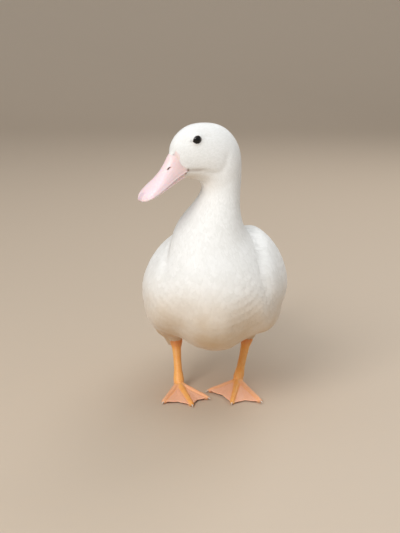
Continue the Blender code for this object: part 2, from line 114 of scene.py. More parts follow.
# Sections across the lie of the plumage, from the bill to the tail's tip, in millimetres: upper point behind
# the neck's axis and its height, lower point likewise, share of the head's turn, and sideways shift
SECTIONS = (
    (-68.6, 329.9, -53.9, 304.3, 1.00, 4.0),
    (-62.4, 338.0, -45.5, 308.5, 1.00, 4.0),
    (-61.8, 347.0, -40.5, 306.0, 1.00, 4.0),
    (-55.0, 357.8, -35.5, 305.0, 1.00, 4.0),
    (-44.8, 365.8, -31.0, 304.1, 1.00, 4.0),
    (-31.5, 370.4, -27.5, 303.3, 1.00, 4.0),
    (-14.5, 371.0, -24.5, 302.0, 1.00, 4.5),
    (2.0, 367.4, -22.6, 299.9, 1.00, 5.5),
    (15.5, 357.0, -21.8, 297.1, 0.98, 6.5),
    (23.0, 341.5, -21.6, 293.0, 0.95, 8.0),
    (25.0, 322.0, -22.0, 286.5, 0.90, 9.0),
    (25.5, 300.0, -24.4, 276.5, 0.78, 7.5),
    (26.5, 280.0, -28.5, 262.0, 0.60, 3.0),
    (28.5, 263.0, -35.5, 244.0, 0.35, -2.2),
    (33.0, 250.0, -44.0, 222.0, 0.12, -3.6),
    (43.0, 243.0, -54.0, 194.0, 0.00, 0.5),
    (61.0, 236.0, -59.0, 162.0, 0.00, 1.5),
    (84.0, 227.0, -54.0, 129.0, 0.00, 0.5),
    (110.0, 216.0, -29.0, 99.0, 0.00, -1.0),
    (138.0, 203.5, 8.0, 79.0, 0.00, -2.0),
    (166.0, 190.0, 56.0, 71.0, 0.00, -2.0),
    (192.0, 176.0, 106.0, 74.0, 0.00, -1.0),
    (215.0, 165.0, 152.0, 86.0, 0.00, 0.0),
    (238.0, 158.0, 192.0, 104.0, 0.00, 0.0),
    (261.0, 154.5, 226.0, 124.0, 0.00, 0.0),
    (284.0, 155.0, 259.0, 140.0, 0.00, 0.0),
    (301.0, 158.0, 287.0, 149.5, 0.00, 0.0),
)
NAPE, NECK_END, BREAST_END, WING_BACK, TAIL_BASE = 9.3, 14.6, 18, 20, 24    # places counted in sections
TAIL_OVER, TAIL_UNDER = 24.3, 25.5      # where the coverts over and under the tail end
SECTION_STEPS = 10          # rows of the body's grid between two sections
ROUND_STEPS = 160           # columns of the body's grid, round the body
RAY_START = 0.46            # how far up a section the rays start that find the body's surface
RAY_LENGTH = 0.2            # how far they look for it, metres
WAVE_LENGTH = 10.5          # faint waves across the breast, millimetres
WAVE_HEIGHT = 0.32

# Where the breast's feathers flow over the fronts of the wings, in millimetres
WING_NEAR = 3               # a place on the body this near to a wing's solid is on the wing
FURROW_WIDTH, FURROW_DEPTH = 5.0, 1.4
COVER_START = 36            # how far behind a wing's front its own feathers start

# The skin's depth under the feathers' lay, in millimetres: on the head, and how much deeper on the body
HEAD_SKIN_DEPTH, BODY_SKIN_DEEPER = 0.42, 1.0
SHOULDER_DEPTH = 0.8        # at least this deep where the wings meet the breast

WING_GRID = (120, 60)       # rows and columns of a wing's grid
WING_MARGIN = 0.04          # how far the grid passes a wing's long edges, in shares of the wing's height
# Reach of each folded wing: y behind the neck's axis in millimetres, and the lowest and highest angle about
# the trunk's middle in degrees
WING_SPANS = (
    (-24.0, 6.0, 26.0), (-8.0, -4.0, 46.0), (20.0, -9.0, 60.0), (50.0, -12.0, 65.0), (90.0, -14.0, 65.0),
    (130.0, -12.0, 62.0), (170.0, -6.0, 62.0), (205.0, 4.0, 62.0), (230.0, 14.0, 58.0), (250.0, 24.0, 52.0),
)

TAIL_FEATHERS = 16
TAIL_GRID = (40, 41)        # rows and columns of the tail's grid
TAIL_LEAD = 24 * MM         # it starts this far before the tail's solid
TAIL_MORE = 18 * MM         # and is this much longer
TAIL_HALF_WIDTHS = ((0, 0.5, 0.85, 1), (34, 36, 33, 31))    # from its root to its end
THIGH_GRID = (52, 60)       # rows and columns of a thigh's grid
THIGH_START = -0.32         # where it starts, under the flank: a share of the way from the knee to the hock
THIGH_RADII = ((0.0, 0.36, 0.66, 0.85, 1.0), (34, 31, 22, 12.5, 10.5))      # where a ray meets no surface
LOOSE_SIDE = math.radians(160)              # bearing on which the right thigh's feathers stand off the leg

# Legs: joints, as x from the body's middle, y behind the neck's axis and height, and the toes' tips, as x and
# y from the ankle, all in millimetres
LEGS = {
    "right": {"knee": (-61.0, 80.0, 116.0), "hock": (-55.0, 110.0, 65.0), "ankle": (-49.0, 81.0, 10.5)},
    "left": {"knee": (48.0, 94.0, 116.0), "hock": (43.5, 128.0, 64.0), "ankle": (31.5, 98.0, 10.5)},
}
TOES = {
    "right": {"outer": (-16.5, -57.0), "middle": (22.0, -64.5), "inner": (42.5, -39.5), "hind": (3.5, 17.0)},
    "left": {"outer": (31.0, -64.5), "middle": (-7.0, -71.5), "inner": (-40.5, -30.0), "hind": (-1.5, 18.0)},
}
TOE_JOINTS = {
    "outer": (0.24, 0.44, 0.62, 0.80), "middle": (0.34, 0.60, 0.82), "inner": (0.42, 0.76), "hind": (0.6,),
}
TOE_RADII = ((0, 0.32, 0.66, 1), (6.0, 4.7, 4.0, 3.5))      # from a toe's root to its tip
HIND_TOE = 0.62             # the hind toe is this much thinner
CLAW_SCALE = 0.62
ANKLE_HEIGHT, TOE_HEIGHT, HIND_TOE_HEIGHT = 7.0 * MM, 2.8 * MM, 4.6 * MM    # of the toes' middle lines


def joint(side, name):
    """The place of a leg's joint."""
    x, y, z = LEGS[side][name]
    return Vector((BODY_MIDDLE + x * MM, NECK_AXIS.y + y * MM, z * MM))


CAMERA_PLACE = Vector((0.0472690, -1.1987722, 0.4918554))     # from the body's middle and the neck's axis
CAMERA_PITCH = 14.0         # degrees below level
CAMERA_YAW = 3.017458       # degrees left of straight ahead
VIEW_DEPTH = 1000.0 / 533   # the lens's focal length in heights of the frame
SENSOR = 36.0               # the frame's height on the sensor, millimetres
# The floor runs from in front of the duck to a sweep up behind it, in metres
FLOOR_WIDTH, FLOOR_LENGTH, FLOOR_FRONT = 16.0, 14.0, 4.0
SWEEP_START, SWEEP_RADIUS = 3.2, 1.6
FLOOR_SHADE = (0.5, 0.46, 0.42, 1.0)        # linear, of its faint mottling
# Lights: name, place, size, power in watts and linear colour
LIGHTS = (
    ("key_light", (-1.05, -2.2, 2.0), 1.4, 52.0, (1.0, 1.0, 0.99)),
    ("top_light", (0.0, -0.6, 3.2), 2.4, 15.0, (0.98, 0.99, 1.0)),
    ("back_light", (0.9, 1.7, 1.9), 1.4, 17.0, (1.0, 0.99, 0.98)),
)
SKY_COLOUR, SKY_STRENGTH = (0.92, 0.96, 1.0, 1.0), 0.48


def linear(code):
    """A colour given as a hex sRGB code, as linear RGBA."""
    parts = [int(code[k:k + 2], 16) / 255 for k in (1, 3, 5)]
    return tuple(c / 12.92 if c <= 0.04045 else ((c + 0.055) / 1.055) ** 2.4 for c in parts) + (1.0,)


def unit(vectors):
    """Vectors along the last axis, made one long."""
    return vectors / np.maximum(np.linalg.norm(vectors, axis=-1, keepdims=True), 1e-12)


def dot(a, b):
    """Dot products along the last axis."""
    return (a * b).sum(-1)


def ease(value, start, end):
    """0 before start, 1 after end and a smooth rise between them."""
    share = np.clip((value - start) / (end - start), 0, 1)
    return share * share * (3 - 2 * share)


def evened(values, passes, closed=False):
    """Values averaged with their neighbours along the first axis; open ends stay."""
    for _ in range(passes):
        mean = (np.roll(values, 1, 0) + 2 * values + np.roll(values, -1, 0)) / 4
        if not closed:
            mean[0], mean[-1] = values[0], values[-1]
        values = mean
    return values


def evened_across(points, passes, closed=False):
    """A grid of points averaged with their neighbours along its rows."""
    return evened(points.transpose(1, 0, 2), passes, closed).transpose(1, 0, 2)


def in_head(points):
    """Points as distances forward of the eyes, to the head's left and up from them."""
    axes = np.array([HEAD_FRONT, HEAD_LEFT, UP])
    return (points - np.array(EYE_MIDDLE)) @ axes.T


def in_bill(points):
    """Points as distances along the bill from the gape, to its left and up from its edge."""
    axes = np.array([BILL_ALONG, HEAD_LEFT, BILL_UP])
    return (points - np.array(GAPE)) @ axes.T


def both_sides(*parts):
    """The names of CAD nodes that come in pairs."""
    return [part + side for part in parts for side in SIDES]


# --- Blender helpers ---------------------------------------------------------------------------------------

def only(*objects):
    """Selects these objects and nothing else; the first is active."""
    if bpy.context.object and bpy.context.object.mode != "OBJECT":
        bpy.ops.object.mode_set(mode="OBJECT")
    bpy.ops.object.select_all(action="DESELECT")
    for item in objects:
        item.select_set(True)
    bpy.context.view_layer.objects.active = objects[0]


def modify(piece, kind, **settings):
    """Adds a modifier to a piece and applies it."""
    only(piece)
    modifier = piece.modifiers.new(kind.lower(), kind)
    for name, value in settings.items():
        setattr(modifier, name, value)
    bpy.ops.object.modifier_apply(modifier=modifier.name)


def edit(piece, **operators):
    """Runs mesh operators, each given with its settings, on all of a piece in edit mode."""
    only(piece)
    bpy.ops.object.mode_set(mode="EDIT")
    bpy.ops.mesh.select_all(action="SELECT")
    for name, settings in operators.items():
        getattr(bpy.ops.mesh, name)(**settings)
    bpy.ops.object.mode_set(mode="OBJECT")


def apply_place(piece):
    """Moves a piece's place, turn and scale into its mesh."""
    only(piece)
    bpy.ops.object.transform_apply(location=True, rotation=True, scale=True)


def copy_of(nodes, name):
    """One new object from copies of CAD nodes, with their loose triangles merged."""
    copies = []
    for node in nodes:
        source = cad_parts[node]
        piece = source.copy()
        piece.data = source.data.copy()
        piece.parent = None
        piece.matrix_world = source.matrix_world
        piece.hide_viewport = piece.hide_render = False
        for key in list(piece.keys()):
            del piece[key]
        bpy.context.scene.collection.objects.link(piece)
        copies.append(piece)
    piece = join(*copies)
    piece.name = piece.data.name = name
    edit(piece, remove_doubles={"threshold": MERGED}, normals_make_consistent={"inside": False})
    piece.data.materials.clear()
    return piece


def join(first, *others):
    """Joins objects into the first one."""
    only(first, *others)
    if others:
        bpy.ops.object.join()
    return first


def fused(piece, voxel, smooth=0, grow=0.0):
    """Melts overlapping and nearly touching shells of a piece into one closed skin."""
    if grow:
        modify(piece, "DISPLACE", strength=grow, mid_level=0)
    modify(piece, "REMESH", mode="VOXEL", voxel_size=voxel)
    if grow:
        modify(piece, "DISPLACE", strength=-grow, mid_level=0)
    if smooth:
        modify(piece, "SMOOTH", factor=0.5, iterations=smooth)
    return piece


def points_of(piece):
    """A piece's vertices and their normals, as arrays."""
    count = len(piece.data.vertices)
    points, normals = np.zeros(count * 3), np.zeros(count * 3)
    piece.data.vertices.foreach_get("co", points)
    piece.data.vertices.foreach_get("normal", normals)
    return points.reshape(-1, 3), normals.reshape(-1, 3)


def set_points(piece, points):
    """Moves a piece's vertices."""
    piece.data.vertices.foreach_set("co", points.astype(np.float32).ravel())
    piece.data.update()


def set_values(mesh, name, values):
    """Writes a number for each vertex as an attribute that a material can read."""
    attribute = mesh.attributes.get(name) or mesh.attributes.new(name, "FLOAT", "POINT")
    attribute.data.foreach_set("value", np.asarray(values, np.float32))


def tree_of(piece):
    """A search tree of a piece's faces."""
    places = [vertex.co.copy() for vertex in piece.data.vertices]
    return BVHTree.FromPolygons(places, [tuple(polygon.vertices) for polygon in piece.data.polygons])


def tree_of_nodes(*nodes):
    """A search tree of the faces of CAD nodes."""
    shell = copy_of(nodes, "shell")
    tree = tree_of(shell)
    discard(shell)
    return tree


def discard(*objects):
    """Removes helper objects."""
    for item in objects:
        bpy.data.objects.remove(item)


def finish_piece(piece, material, replaced=()):
    """Gives a piece its material, smooth shading and body, and hides the CAD nodes that it stands for."""
    apply_place(piece)
    piece.data.materials.clear()
    piece.data.materials.append(material)
    piece.data.shade_smooth()
    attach(piece, "root")
    if replaced:
        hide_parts(*replaced)


# --- Materials ---------------------------------------------------------------------------------------------
# In most of them a loop paints colours over a first one, each by the share that goes with it

def new_material(name):
    """An empty material with its Principled shader; returns the material, its nodes and the shader."""
    material = bpy.data.materials.new(name)
    material.use_nodes = True
    return material, material.node_tree.nodes, material.node_tree.nodes["Principled BSDF"]


def fill(node, inputs):
    """Sets a node's sockets, by name or number, to values, or links them to the outputs that feed them."""
    for socket, value in inputs.items():
        if isinstance(value, bpy.types.NodeSocket):
            node.id_data.links.new(value, node.inputs[socket])
        else:
            node.inputs[socket].default_value = value


def put(nodes, kind, inputs=None, **settings):
    """Adds a shader node with its settings and fills its sockets."""
    node = nodes.new("ShaderNode" + kind)
    for name, value in settings.items():
        setattr(node, name, value)
    fill(node, inputs or {})
    return node


def plumage_material(colours):
    """Duck feather, a matt keratin vane: fine slanted barbs either side of a pale shaft."""
    material, nodes, shader = new_material("duck_feather_keratin")
    vane = put(nodes, "UVMap", uv_map="Vane")
    split = put(nodes, "SeparateXYZ", {0: vane.outputs[0]})
    place = put(nodes, "TexCoord")
    shade, cream_shade_share, stain_and_fold_shade_share = (
        put(nodes, "Attribute", attribute_name=name).outputs["Fac"] for name in ("shade", "cream_and_painted_shade", "mouth_stain_and_fold_shade")
    )
    beside = put(nodes, "Math", {0: split.outputs[1]}, operation="ABSOLUTE")
    # Barbs really lie 0.3 mm apart; they are drawn 0.9 mm apart so that they show
    slant = put(nodes, "Math", {0: beside.outputs[0], 1: -0.8, 2: split.outputs[0]}, operation="MULTIPLY_ADD")
    phase = put(nodes, "Math", {0: slant.outputs[0], 1: 2 * math.pi / 0.9}, operation="MULTIPLY")
    barbs = put(nodes, "Math", {0: phase.outputs[0]}, operation="SINE")
    tint = put(nodes, "TexNoise", {"Vector": place.outputs["Object"], "Scale": 22.0, "Detail": 3.0})
    patchy = put(nodes, "MapRange", {0: tint.outputs[0], 1: 0.35, 2: 0.65, 3: 0.75, 4: 1.15})
    # The cream is partly a real tint and partly painted shade and warm floor bounce, under the chin and low
    # on the body
    cream_shade_amount = put(nodes, "Math", {0: cream_shade_share, 1: patchy.outputs[0]}, operation="MULTIPLY", use_clamp=True)
    colour = colours.plumage_white
    for share, paint in (
        (shade, colours.plumage_shade), (cream_shade_amount.outputs[0], colours.plumage_cream_shade), (stain_and_fold_shade_share, colours.mouth_stain_and_fold_shade),
    ):
        colour = put(nodes, "Mix", {0: share, 6: colour, 7: paint}, data_type="RGBA").outputs[2]
    bump = put(nodes, "Bump", {"Strength": 0.10, "Distance": 0.0001, "Height": barbs.outputs[0]})
    fill(shader, {"Base Color": colour, "Normal": bump.outputs[0], "Roughness": 0.62, "Sheen Weight": 0.25,
                  "Sheen Roughness": 0.5, "Specular IOR Level": 0.35})
    return material


def skin_material(colours):
    """Duck skin: downy white under the plumage, scaly satin orange on the legs, thin and rosy in the webs."""
    material, nodes, shader = new_material("duck_skin_scaled")
    place = put(nodes, "TexCoord").outputs["Object"]
    leg, web, joint, lid, cream_shade_share, cere, stain_and_fold_shade_share = (
        put(nodes, "Attribute", attribute_name=name).outputs["Fac"]
        for name in ("leg", "web", "joint", "lid", "cream_and_painted_shade", "cere", "mouth_stain_and_fold_shade")
    )
    mottle = put(nodes, "TexNoise", {"Vector": place, "Scale": 130.0, "Detail": 4.0})
    # Small round scales between the plates, about 1 mm across
    scales = put(nodes, "TexVoronoi", {"Vector": place, "Scale": 900.0}, feature="F1")
    grain = put(nodes, "Math", {0: scales.outputs["Distance"], 1: leg}, operation="MULTIPLY")
    # Painted shade darkens the crevices between the scales
    crevice_shade = put(nodes, "MapRange", {0: grain.outputs[0], 1: 0.4, 2: 0.8, 3: 0.0, 4: 0.22})
    scaly = colours.leg_orange
    for share, paint in (
        (mottle.outputs[0], colours.leg_yellow), (joint, colours.leg_red), (web, colours.web_salmon),
    ):
        scaly = put(nodes, "Mix", {0: share, 6: scaly, 7: paint}, data_type="RGBA").outputs[2]
    colour = colours.plumage_white
    # Under the plumage the skin takes the same cream as the feathers, partly painted shade
    for share, paint in (
        (cream_shade_share, colours.plumage_cream_shade), (cere, colours.bill_rose), (stain_and_fold_shade_share, colours.mouth_stain_and_fold_shade), (leg, scaly),
        (lid, colours.lid), (crevice_shade.outputs[0], colours.leg_crevice_shade),
    ):
        colour = put(nodes, "Mix", {0: share, 6: colour, 7: paint}, data_type="RGBA").outputs[2]
    bump = put(nodes, "Bump", {"Strength": 0.35, "Distance": 0.0003, "Height": grain.outputs[0]}, invert=True)
    fill(shader, {"Base Color": colour, "Normal": bump.outputs[0], "Roughness": 0.42,
                  "Subsurface Weight": 0.12, "Subsurface Radius": (0.004, 0.0015, 0.0008),
                  "Subsurface Scale": 1.0})
    return material


def bill_material(colours):
    """Bill sheath, thin keratin over live tissue: satin and pink, rosier at its base, lilac at the nail, with
    painted shade in the nostrils.
    """
    material, nodes, shader = new_material("bill_sheath_keratin")
    place = put(nodes, "TexCoord").outputs["Object"]
    along, height, nail, dark = (
        put(nodes, "Attribute", attribute_name=name).outputs["Fac"]
        for name in ("along", "height", "nail", "dark")
    )
    mottle = put(nodes, "TexNoise", {"Vector": place, "Scale": 160.0, "Detail": 5.0, "Roughness": 0.6})
    run = put(nodes, "MapRange", {0: along, 1: 2.0, 2: 34.0})
    fleck = put(nodes, "MapRange", {0: mottle.outputs[0], 1: 0.42, 2: 0.75, 3: 0.0, 4: 0.45})
    # The bill is painted paler along its edge, fading out 2.2 mm above it
    rim = put(nodes, "MapRange", {0: height, 1: 0.4, 2: 2.2, 3: 0.5, 4: 0.0})
    colour = colours.bill_rose
    for share, paint in (
        (run.outputs[0], colours.bill_pink), (fleck.outputs[0], colours.bill_rose),
        (nail, colours.bill_lilac), (rim.outputs[0], colours.bill_rim), (dark, colours.nostril_shade),
    ):
        colour = put(nodes, "Mix", {0: share, 6: colour, 7: paint}, data_type="RGBA").outputs[2]
    # Fine growth lines along the sheath, about 1.2 mm apart
    streak = put(nodes, "Mapping", {"Vector": place, "Scale": (500.0, 500.0, 500.0)})
    pores = put(nodes, "TexNoise", {"Vector": streak.outputs[0], "Scale": 1.6, "Detail": 3.0})
    bump = put(nodes, "Bump", {"Strength": 0.12, "Distance": 0.0003, "Height": pores.outputs[0]})
    fill(shader, {"Base Color": colour, "Normal": bump.outputs[0], "Roughness": 0.38,
                  "Subsurface Weight": 0.2, "Subsurface Radius": (0.004, 0.0015, 0.001),
                  "Subsurface Scale": 1.0})
    return material


def claw_material(colours):
    """Claw horn, dense worn keratin: pale and glossy above, with painted shade on the side that faces down.
    """
    material, nodes, shader = new_material("claw_keratin")
    place = put(nodes, "TexCoord")
    under = put(nodes, "Attribute", attribute_name="under")
    grain = put(nodes, "TexNoise", {"Vector": place.outputs["Object"], "Scale": 600.0, "Detail": 3.0})
    colour = colours.claw_pale
    # Painted shade darkens the side of each claw that faces down
    for share, paint in ((grain.outputs[0], colours.claw_horn), (under.outputs["Fac"], colours.claw_underside_shade)):
        colour = put(nodes, "Mix", {0: share, 6: colour, 7: paint}, data_type="RGBA").outputs[2]
    bump = put(nodes, "Bump", {"Strength": 0.15, "Distance": 0.0002, "Height": grain.outputs[0]})
    fill(shader, {"Base Color": colour, "Normal": bump.outputs[0], "Roughness": 0.34})
    return material


def eye_material(colours):
    """Wet cornea over a dark brown iris and a black pupil: the clear coat gives the bright glint."""
    material, nodes, shader = new_material("eye_wet_cornea")
    place = put(nodes, "TexCoord")
    ring = put(nodes, "Attribute", attribute_name="ring").outputs["Fac"]
    fibres = put(nodes, "TexNoise", {"Vector": place.outputs["Object"], "Scale": 1500.0, "Detail": 2.0})
    iris = put(nodes, "Mix", {0: fibres.outputs[0], 6: colours.iris, 7: colours.eye_black}, data_type="RGBA")
    # The pupil's and the iris's edges, 2.6 and 4.3 mm from the eye's axis
    pupil = put(nodes, "MapRange", {0: ring, 1: 2.5, 2: 2.8})
    rim = put(nodes, "MapRange", {0: ring, 1: 4.0, 2: 4.6})
    colour = colours.eye_black
    for share, paint in ((pupil.outputs[0], iris.outputs[2]), (rim.outputs[0], colours.eye_black)):
        colour = put(nodes, "Mix", {0: share, 6: colour, 7: paint}, data_type="RGBA").outputs[2]
    fill(shader, {"Base Color": colour, "Roughness": 0.2, "Specular IOR Level": 0.15, "Coat Weight": 0.45,
                  "Coat Roughness": 0.03})
    return material


def floor_material(colours):
    """Studio floor, matt painted board with a faint roller texture."""
    material, nodes, shader = new_material("matt_painted_board")
    place = put(nodes, "TexCoord")
    roller = put(nodes, "TexNoise", {"Vector": place.outputs["Object"], "Scale": 60.0, "Detail": 3.0})
    tint = put(nodes, "MapRange", {0: roller.outputs[0], 3: 0.0, 4: 0.12})
    colour = put(nodes, "Mix", {0: tint.outputs[0], 6: colours.floor, 7: FLOOR_SHADE}, data_type="RGBA")
    bump = put(nodes, "Bump", {"Strength": 0.05, "Distance": 0.001, "Height": roller.outputs[0]})
    fill(shader, {"Base Color": colour.outputs[2], "Normal": bump.outputs[0], "Roughness": 0.55})
    return material


# --- The lie of the plumage --------------------------------------------------------------------------------

class Lay:
    """A surface as a grid: its rows follow each other with the lie of the feathers, its columns across it."""

    def __init__(self, points, closed, mirrored=False):
        self.points, self.closed, self.mirrored = points, closed, mirrored
        along = np.gradient(points, axis=0)
        wide = np.concatenate([points[:, -1:], points, points[:, :1]], 1) if closed else points
        across = np.gradient(wide, axis=1)
        if closed:
            across = across[:, 1:-1]
        self.normals = unit(np.cross(along, across)) * (-1 if mirrored else 1)
        self.stride = np.linalg.norm(along, axis=-1)
        self.fields = np.concatenate([points, self.normals, along, across], axis=2)

    def at(self, rows, columns):
        """Point, normal, and steps along and across, at places counted in rows and columns."""
        high, wide = self.points.shape[:2]
        kept_rows = np.clip(rows, 0, high - 1)
        kept_columns = columns % wide if self.closed else np.clip(columns, 0, wide - 1)
        beyond_columns = 0 * columns if self.closed else columns - kept_columns
        i = np.minimum(kept_rows.astype(int), high - 2)
        j = np.minimum(kept_columns.astype(int), wide - (1 if self.closed else 2))
        after = (j + 1) % wide
        u, v = (kept_rows - i)[..., None], (kept_columns - j)[..., None]
        near = self.fields[i, j] * (1 - u) + self.fields[i + 1, j] * u
        far = self.fields[i, after] * (1 - u) + self.fields[i + 1, after] * u
        value = near * (1 - v) + far * v
        point, normal, along, across = (value[..., k:k + 3] for k in (0, 3, 6, 9))
        point = point + along * (rows - kept_rows)[..., None] + across * beyond_columns[..., None]
        return point, unit(normal), along, across


def crease(points):
    """How far the face's soft folds sink below the head's surface."""
    forward, left, up = in_head(points).T / MM
    sunk = np.zeros(len(points))
    for fold in FACE_FOLDS:
        stops, share = np.linspace(0, 1, len(fold)), np.linspace(0, 1, 48)
        spots = zip(*(np.interp(share, stops, column) for column in zip(*fold)))
        for ahead, high, depth, wide in spots:
            away = (forward - ahead) ** 2 + (up - high) ** 2
            sunk = np.maximum(sunk, depth * np.exp(-away / wide ** 2))
    return MM * sunk * ease(np.abs(left), 5, 10)


def body_form():
    """Head, neck, trunk, wings, tail and bill melted into one closed form, with the eyes filled in."""
    nodes = ["head", "neck", "trunk", "tail", "bill_upper", "bill_lower"]
    form = copy_of(nodes + both_sides("wing_", "eye_"), "form")
    return fused(form, 2.2 * MM, smooth=3, grow=0.5 * MM)


def body_lay(form):
    """The body's outer surface as a grid, from rays cast outwards in the plumage's sections."""
    tree = tree_of(form)
    places = np.linspace(0, len(SECTIONS) - 1, (len(SECTIONS) - 1) * SECTION_STEPS + 1)
    rows = np.array([np.interp(places, range(len(SECTIONS)), column) for column in zip(*SECTIONS)]).T
    rows = evened(rows, SECTION_STEPS)
    angles = np.linspace(0, 2 * math.pi, ROUND_STEPS, endpoint=False)
    points = np.zeros((len(places), ROUND_STEPS, 3))
    for i, (upper_s, upper_z, lower_s, lower_z, turn, shift) in enumerate(rows):
        upper, lower = Vector((0, upper_s, upper_z)) * MM, Vector((0, lower_s, lower_z)) * MM
        turned = Matrix.Translation((BODY_MIDDLE + shift * MM, NECK_AXIS.y, 0))
        turned = turned @ Matrix.Rotation(HEAD_TURN * turn, 4, "Z")
        start, rise = turned @ lower.lerp(upper, RAY_START), turned.to_3x3() @ (upper - lower).normalized()
        side = turned.to_3x3() @ Vector((1, 0, 0))
        for j, angle in enumerate(angles):
            hit = tree.ray_cast(start, side * math.cos(angle) + rise * math.sin(angle), RAY_LENGTH)[0]
            points[i, j] = hit or start
    grid = evened(evened_across(points, 3, closed=True), 4)
    sunk = crease(grid.reshape(-1, 3)).reshape(grid.shape[:2])
    grid = grid - Lay(grid, closed=True).normals * sunk[..., None]
    # The lids swell softly out of the head round each eye
    for passes in (6, 2, 0):
        for eye in map(np.array, EYES.values()):
            offset = grid - eye
            away = np.linalg.norm(offset, axis=-1, keepdims=True)
            grid = np.where(away < LID_RADIUS, eye + offset / away * LID_RADIUS, grid)
            near = 1 - ease(away / MM, *LID_BLEND)
            calm = evened_across(evened(grid, passes), passes, closed=True)
            grid = grid * (1 - near) + calm * near
    lay = Lay(grid, closed=True)
    return Lay(grid + lay.normals * (breast_waves(lay) * MM)[..., None], closed=True)


def breast_waves(lay):
    """How far the feathers of the breast stand out in faint waves across it, in millimetres."""
    rows, columns = np.indices(lay.points.shape[:2])
    place, angle = rows / SECTION_STEPS, columns / ROUND_STEPS * 2 * math.pi
    run = np.cumsum(lay.stride, axis=0) / MM
    wander = 1.6 * np.sin(3 * angle + 0.8)
    wave = np.sin(run * 2 * math.pi / WAVE_LENGTH + wander + 0.9 * np.sin(7 * angle + place))
    wave *= ease(place, 14.2, 15.4) * (1 - ease(place, 17.8, 19.8)) * ease(-np.sin(angle), 0.05, 0.5)
    wave *= 0.6 + 0.4 * np.sin(4 * angle + 0.7 * place)
    return wave * WAVE_HEIGHT


def wing_lay(side):
    """A folded wing's outer surface as a grid: rows from its front back, columns from its lower edge up."""
    sign = SIDES[side]
    inner, outer = tree_of_nodes("trunk", "tail"), tree_of_nodes("wing_" + side, "trunk", "tail")
    spans = np.array(WING_SPANS)
    places = np.linspace(0, len(spans) - 1, WING_GRID[0])
    behind, low, high = (evened(np.interp(places, range(len(spans)), column), 8) for column in spans.T)
    shares = np.linspace(-WING_MARGIN, 1 + WING_MARGIN, WING_GRID[1])
    points = np.zeros(WING_GRID + (3,))
    for i in range(len(places)):
        y = NECK_AXIS.y + behind[i] * MM
        top = inner.ray_cast(Vector((BODY_MIDDLE, y, 1)), -UP)[0]
        bottom = inner.ray_cast(Vector((BODY_MIDDLE, y, 0)), UP)[0]
        axis = (top + bottom) / 2
        for j, share in enumerate(shares):
            angle = math.radians(low[i] + (high[i] - low[i]) * share)
            ray = Vector((sign * math.cos(angle), 0, math.sin(angle)))
            points[i, j] = outer.ray_cast(axis + ray * 0.3, -ray)[0] or axis
    return Lay(evened(evened_across(points, 2), 3), closed=False, mirrored=sign < 0)


def tail_lay():
    """The upper side of the tail as a grid: rows from its root back, columns from right to left."""
    low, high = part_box("tail")
    tree = tree_of_nodes("tail", "trunk")
    points = np.zeros(TAIL_GRID + (3,))
    for i, share in enumerate(np.linspace(0, 1, TAIL_GRID[0])):
        y = low.y - TAIL_LEAD + (high.y - low.y + TAIL_MORE) * share
        half = np.interp(share, *TAIL_HALF_WIDTHS) * MM
        for j, place in enumerate(np.linspace(-1, 1, TAIL_GRID[1])):
            hit = tree.ray_cast(Vector((BODY_MIDDLE + half * place, y, 0.3)), -UP)[0]
            points[i, j] = hit or points[i - 1, j] + (points[i - 1, j] - points[i - 2, j])
    return Lay(evened(evened_across(points, 4), 4), closed=False, mirrored=True)


def thigh_lay(side):
    """A feathered thigh as a grid: rows from the knee down to the hock, columns round it."""
    shell = fused(copy_of(["thigh_" + side, "trunk"], "shell"), 2.0 * MM, smooth=3, grow=0.5 * MM)
    tree = tree_of(shell)
    discard(shell)
    knee, hock = joint(side, "knee"), joint(side, "hock")
    down = (hock - knee).normalized()
    front = down.cross(Vector((1, 0, 0))).normalized()
    out = front.cross(down).normalized()
    points = np.zeros(THIGH_GRID + (3,))
    for i, share in enumerate(np.linspace(THIGH_START, 1.0, THIGH_GRID[0])):
        start = knee.lerp(hock, share)
        reach = np.interp(share, *THIGH_RADII) * MM
        # The right thigh's feathers stand off the leg beside and behind the hock
        stand = 13.0 + 15.0 * ease(share, 0.1, 0.6) - 10.5 * ease(share, 0.7, 1.0)
        for j, angle in enumerate(np.linspace(0, 2 * math.pi, THIGH_GRID[1], endpoint=False)):
            ray = out * math.cos(angle) - front * math.sin(angle)
            hit = tree.ray_cast(start, ray, reach)[3] or reach
            loose = max(0, math.cos(angle - LOOSE_SIDE)) if side == "right" else 0
            points[i, j] = start + ray * max(hit, stand * MM * loose)
    return Lay(evened(evened_across(points, 2, closed=True), 2), closed=True)


# --- Feathers ----------------------------------------------------------------------------------------------

class Vane:
    """One feather, root at 0 and tip at 1 along x, one wide along y, closed like a thin lens."""

    def __init__(self, name, cells_along, cells_across, outline, camber, quill=0.0):
        bpy.ops.object.select_all(action="DESELECT")
        bpy.ops.mesh.primitive_grid_add(x_subdivisions=cells_along, y_subdivisions=cells_across, size=1)
        blank = bpy.context.object
        blank.name = name
        flat = points_of(blank)[0]
        share, across = (flat[:, 0] + 0.5) ** 0.75, flat[:, 1] * 2
        half = np.interp(share, *zip(*outline))
        rounded = share - BLUNT * ease(share, 0.35, 1.0) * across ** 2
        shape = np.stack([rounded, across * half, -camber * across ** 2], -1)
        shape[:, 2] += quill * (np.abs(across) < 0.06) * (1 - 0.7 * share)
        set_points(blank, shape)
        edit(blank, duplicate={}, flip_normals={})
        # The underside is held away while its rim merges with the upper side's
        inner = np.tile((np.abs(flat[:, :2]) < 0.499).all(1), 2)
        both = points_of(blank)[0]
        copied = np.arange(len(both)) >= len(flat)
        both[copied & inner, 2] -= HELD_AWAY
        set_points(blank, both)
        edit(blank, remove_doubles={"threshold": MERGED})
        self.points = points_of(blank)[0]
        self.under = self.points[:, 2] < -0.6 * HELD_AWAY
        self.points[self.under, 2] += HELD_AWAY
        self.faces = np.array([tuple(polygon.vertices) for polygon in blank.data.polygons])
        sides = np.zeros((2, len(self.points)), bool)
        for polygon in blank.data.polygons:
            sides[int(polygon.normal.z > 0), list(polygon.vertices)] = True
        self.rim = sides.all(0)
        discard(blank)


